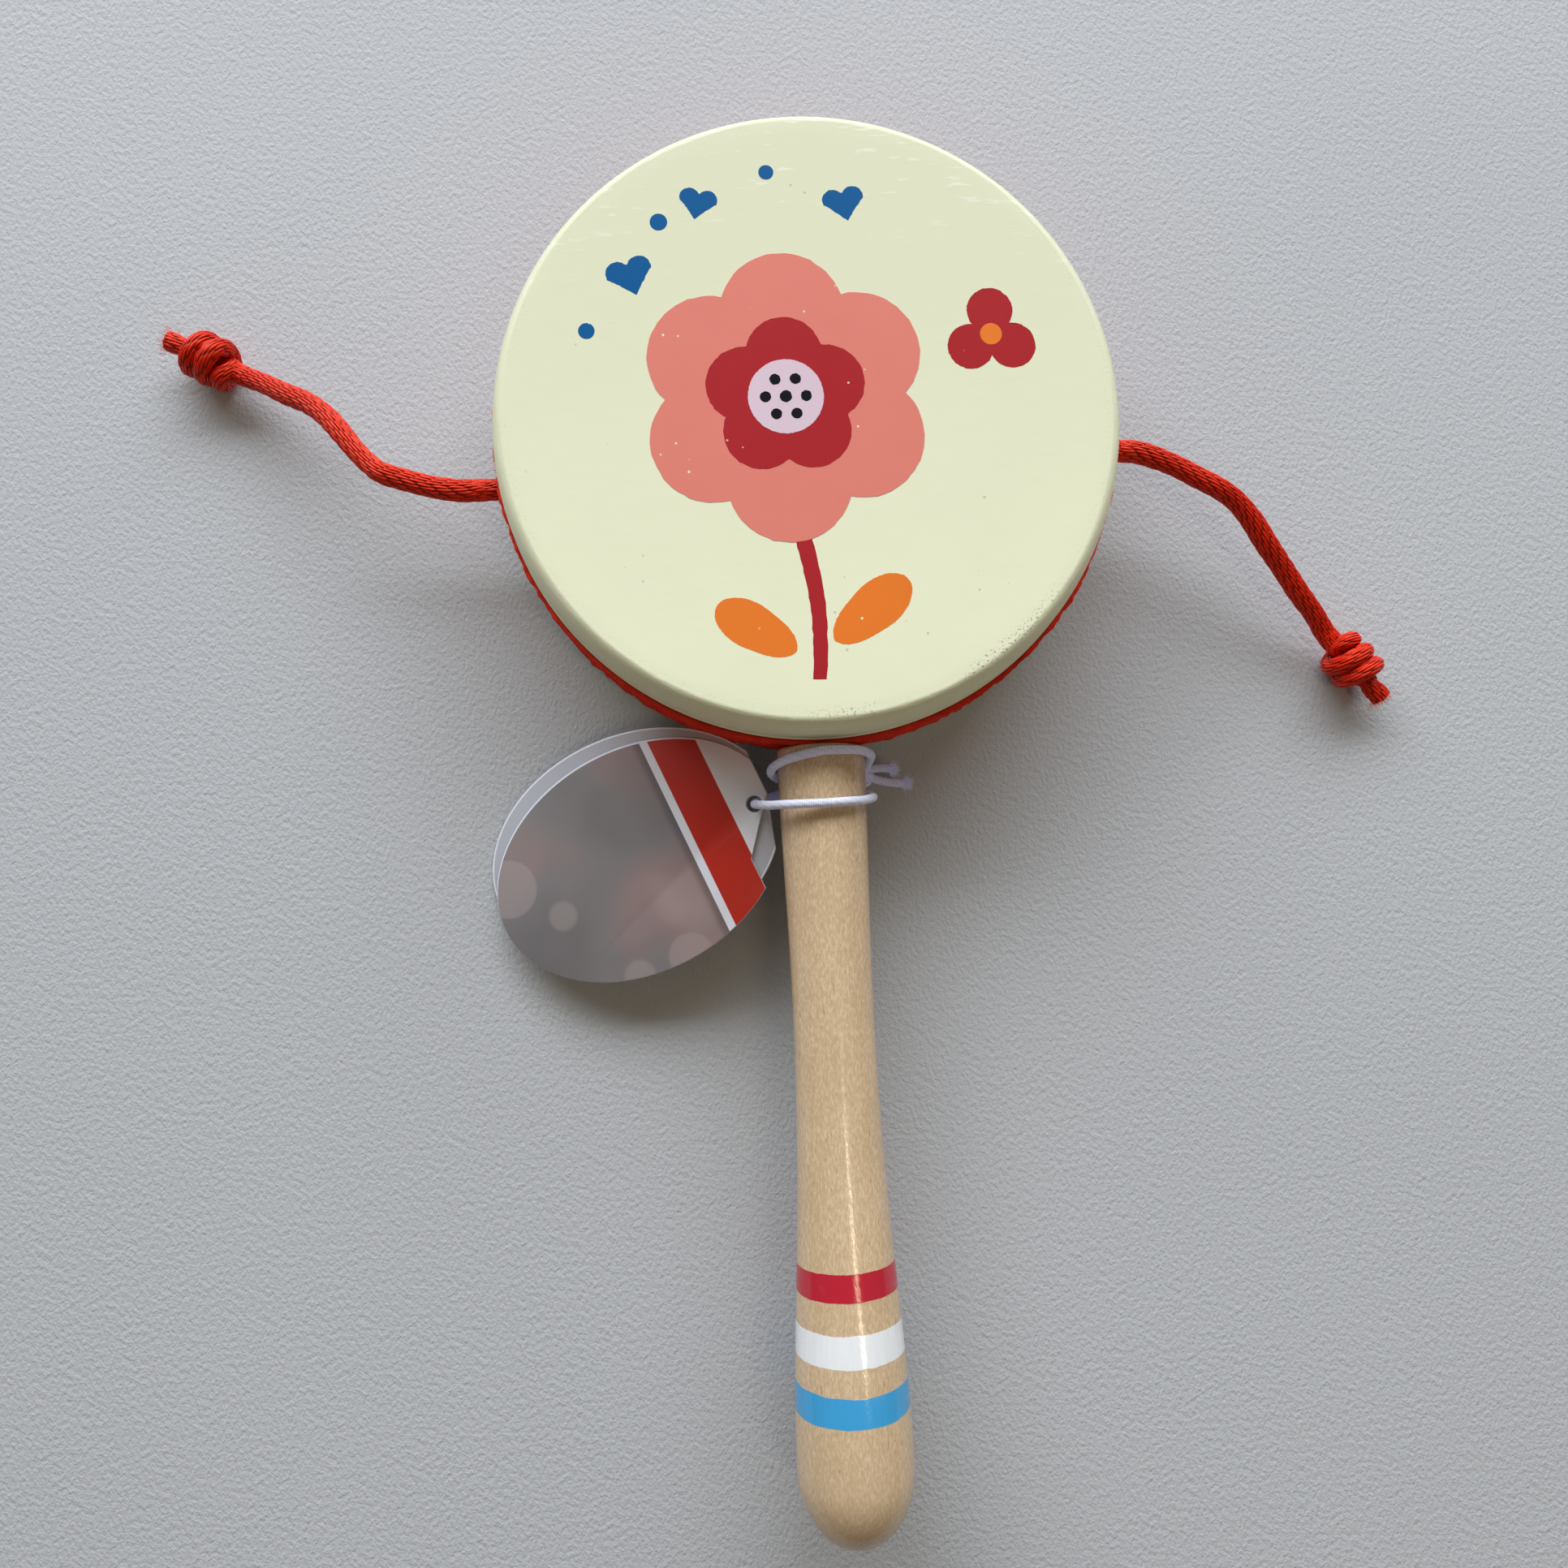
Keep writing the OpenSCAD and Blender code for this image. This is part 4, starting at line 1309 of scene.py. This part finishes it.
def leaf_edge(length, width):
    """The outline of a leaf: an oval, slimmer towards its tip."""
    def edge(angle):
        return 1 / math.hypot(math.cos(angle) / (length / 2), math.sin(angle) / (width / 2)) * (
            1 - 0.24 * (1 - math.cos(angle)) / 2 * abs(math.sin(angle))
        )
    return edge


def disc_edge(size):
    return lambda angle: size / 2


class RATTLE_OT_print(bpy.types.Operator):
    """A plain flower design in screen ink on the front head"""

    bl_idname = "rattle.print"
    bl_label = "Head print"

    # Ink, layer, outline, centre and turn of each shape, in millimetres and degrees
    SHAPES = (
        ("dark_red", 0, ("stem",), (-1.5, -31.5), 0),
        ("orange", 0, ("leaf", 16.5, 9.0), (8.8, -34.5), 38),
        ("orange", 0, ("leaf", 15.5, 8.6), (-10.8, -37.0), 148),
        ("salmon", 1, ("petals", 6, 14.6, 10.8), (-4.0, 3.0), 30),
        ("dark_red", 2, ("petals", 5, 7.4, 6.6), (-4.0, 3.0), 18),
        ("lilac", 3, ("disc", 13.0), (-4.0, 3.0), 0),
        ("black", 4, ("seeds", 6, 3.5, 1.9), (-4.0, 3.0), 0),
        ("dark_red", 0, ("petals", 3, 4.2, 4.0), (32.0, 13.0), 90),
        ("orange", 1, ("disc", 3.8), (32.0, 13.0), 0),
        ("blue", 0, ("heart", 8.0), (-30.0, 26.0), 16),
        ("blue", 0, ("heart", 6.6), (-17.5, 38.5), -12),
        ("blue", 0, ("heart", 7.2), (7.5, 38.0), 10),
        ("blue", 0, ("disc", 3.0), (-24.5, 34.5), 0),
        ("blue", 0, ("disc", 2.6), (-5.6, 43.0), 0),
        ("blue", 0, ("disc", 2.8), (-37.5, 15.5), 0),
    )
    COLOURS = {
        "salmon": (226, 132, 119),
        "dark_red": (172, 40, 46),
        "orange": (236, 126, 48),
        "lilac": (222, 198, 212),
        "black": (18, 18, 26),
        "blue": (10, 90, 150),
    }
    # In millimetres: how deep the ink starts in the lacquer, its height, how far each layer rises over the
    # last, how rough its edge is
    SUNK = 0.02
    INK_HEIGHT = 0.045
    LAYER = 0.02
    ROUGH = 0.05

    def outline(self, kind, sizes):
        """Rows of outlines, each a list of points in millimetres."""
        angles = [TURN * i / 144 for i in range(144)]
        if kind == "seeds":
            count, ring, width = sizes
            turns = [TURN * n / count for n in range(count)]
            seeds = [(ring * math.cos(a), ring * math.sin(a), width / 2) for a in turns]
            seeds.append((0, 0, width * 0.55))
            return [[(x + r * math.cos(a), y + r * math.sin(a)) for a in angles[::6]] for x, y, r in seeds]
        if kind == "heart":
            half = sizes[0] / 2
            lobe = [
                (half * (0.48 + 0.52 * math.cos(a * DEG)), half * 0.52 * math.sin(a * DEG))
                for a in range(-18, 157, 8)
            ]
            side = [
                (half * (0.975 - 0.975 * t), -half * (0.16 + 0.98 * t**1.15))
                for t in np.linspace(0.08, 1, 12)
            ]
            right = side[::-1] + lobe
            return [right + [(-x, y) for x, y in right[::-1]][1:-1]]
        if kind == "stem":
            shares = np.linspace(0, 1, 26)
            rows = [(2.6 * math.sin(t * 2.2) - 1.2, 12.5 - 27 * t, 1.5 - 0.35 * t) for t in shares]
            return [[(x + w, y) for x, y, w in rows] + [(x - w, y) for x, y, w in rows[::-1]]]
        edge = {"petals": petal_edge, "leaf": leaf_edge, "disc": disc_edge}[kind](*sizes)
        return [[(edge(a) * math.cos(a), edge(a) * math.sin(a)) for a in angles]]

    def execute(self, context):
        scene = context.scene
        drum = scene.rattle_drum
        rng = np.random.default_rng(3)
        made = {}
        for ink, layer, (kind, *sizes), centre, turn in self.SHAPES:
            for points in self.outline(kind, sizes):
                c, s = math.cos(turn * DEG), math.sin(turn * DEG)
                points = np.array(points)
                gap = np.linalg.norm(points - np.roll(points, 1, axis=0), axis=1)[:, None]
                points = points + rng.normal(0, self.ROUGH, points.shape) * np.clip(gap * 2, 0, 1)
                outline = [
                    ((centre[0] + x * c - y * s) * MM, (centre[1] + x * s + y * c) * MM) for x, y in points
                ]
                height = (self.INK_HEIGHT + self.LAYER * layer) * MM
                made.setdefault(ink, []).append(plate("ink", outline, 2 * MID_Z - self.SUNK * MM, height))
        for ink, shapes in made.items():
            obj = join(*shapes) if len(shapes) > 1 else shapes[0]
            obj.name = "ink_" + ink
            material = ink_finish("ink_" + ink, srgb(*self.COLOURS[ink]), drum.lacquer)
            dress(obj, "drum", material, (), 30)
        return {"FINISHED"}


class RATTLE_OT_stage(bpy.types.Operator):
    """Pale floor, soft window light and the camera"""

    bl_idname = "rattle.stage"
    bl_label = "Stage"

    FLOOR_SIZE = 4.0
    ROOM_COLOUR = (1.0, 0.83, 0.62, 1.0)
    ROOM_STRENGTH = 0.155
    # Place, what it points at, size, power in watts, colour
    LAMPS = {
        "window": ((-0.08, 1.64, 0.98), (0, 0.0, 0), (3.6, 1.05), 93.0, (0.89, 0.95, 1.0)),
        "ceiling": ((0.34, -0.4, 1.0), (0.0, -0.14, 0), (0.02, 0.36), 0.8, (1.0, 0.86, 0.62)),
    }
    # The camera that fits the photo
    CAMERA_PLACE = (-0.0151, -0.0762, 0.2154)
    CAMERA_TURN = (3.96 * DEG, -2.36 * DEG, -2.71 * DEG)
    CAMERA_LENS = 25.61

    def light(self, name, place, target, size, power, colour):
        data = bpy.data.lights.new(name, "AREA")
        data.shape = "RECTANGLE"
        data.size, data.size_y = size
        data.energy = power
        data.color = colour
        lamp = bpy.data.objects.new(name, data)
        bpy.context.scene.collection.objects.link(lamp)
        lamp.location = place
        lamp.rotation_euler = (Vector(target) - Vector(place)).to_track_quat("-Z", "Y").to_euler()

    def execute(self, context):
        scene = context.scene
        floor = primitive(bpy.ops.mesh.primitive_plane_add, "floor", size=self.FLOOR_SIZE)
        settle(floor)
        floor.data.materials.append(floor_finish())
        world = bpy.data.worlds.new("soft_room")
        world.use_nodes = True
        world.node_tree.nodes["Background"].inputs["Color"].default_value = self.ROOM_COLOUR
        world.node_tree.nodes["Background"].inputs["Strength"].default_value = self.ROOM_STRENGTH
        scene.world = world
        for name, lamp in self.LAMPS.items():
            self.light(name, *lamp)
        scene.view_settings.view_transform = "Standard"
        data = bpy.data.cameras.new("camera")
        data.lens = self.CAMERA_LENS
        data.sensor_width = 36
        data.clip_start, data.clip_end = 0.005, 20
        camera = bpy.data.objects.new("camera", data)
        scene.collection.objects.link(camera)
        camera.location = self.CAMERA_PLACE
        camera.rotation_mode = "ZXY"
        camera.rotation_euler = self.CAMERA_TURN
        scene.camera = camera
        return {"FINISHED"}


class RATTLE_PT_panel(bpy.types.Panel):
    """The rattle's pieces, sizes and colours"""

    bl_idname = "RATTLE_PT_panel"
    bl_label = "Pellet drum rattle"
    bl_space_type = "VIEW_3D"
    bl_region_type = "UI"
    bl_category = "Rattle"

    def draw(self, context):
        for operator in OPERATORS:
            self.layout.operator(operator.bl_idname)
        for name, group in GROUPS.items():
            box = self.layout.box()
            for setting in group.__annotations__:
                box.prop(getattr(context.scene, name), setting)


GROUPS = {
    "rattle_drum": RattleDrum,
    "rattle_handle": RattleHandle,
    "rattle_cords": RattleCords,
    "rattle_tag": RattleTag,
}
OPERATORS = (
    RATTLE_OT_stage,
    RATTLE_OT_cords,
    RATTLE_OT_heads,
    RATTLE_OT_hoop,
    RATTLE_OT_felt,
    RATTLE_OT_handle,
    RATTLE_OT_elastic,
    RATTLE_OT_tag,
    RATTLE_OT_print,
)


def register():
    for cls in (*GROUPS.values(), *OPERATORS, RATTLE_PT_panel):
        bpy.utils.register_class(cls)
    for name, group in GROUPS.items():
        setattr(bpy.types.Scene, name, bpy.props.PointerProperty(type=group))


def unregister():
    for name in GROUPS:
        delattr(bpy.types.Scene, name)
    for cls in reversed((*GROUPS.values(), *OPERATORS, RATTLE_PT_panel)):
        bpy.utils.unregister_class(cls)


def main():
    register()
    bpy.ops.rattle.stage()
    bpy.ops.rattle.cords()
    bpy.ops.rattle.heads()
    bpy.ops.rattle.hoop()
    bpy.ops.rattle.felt()
    bpy.ops.rattle.handle()
    bpy.ops.rattle.elastic()
    bpy.ops.rattle.tag()
    bpy.ops.rattle.print()


if __name__ == "__main__":
    main()
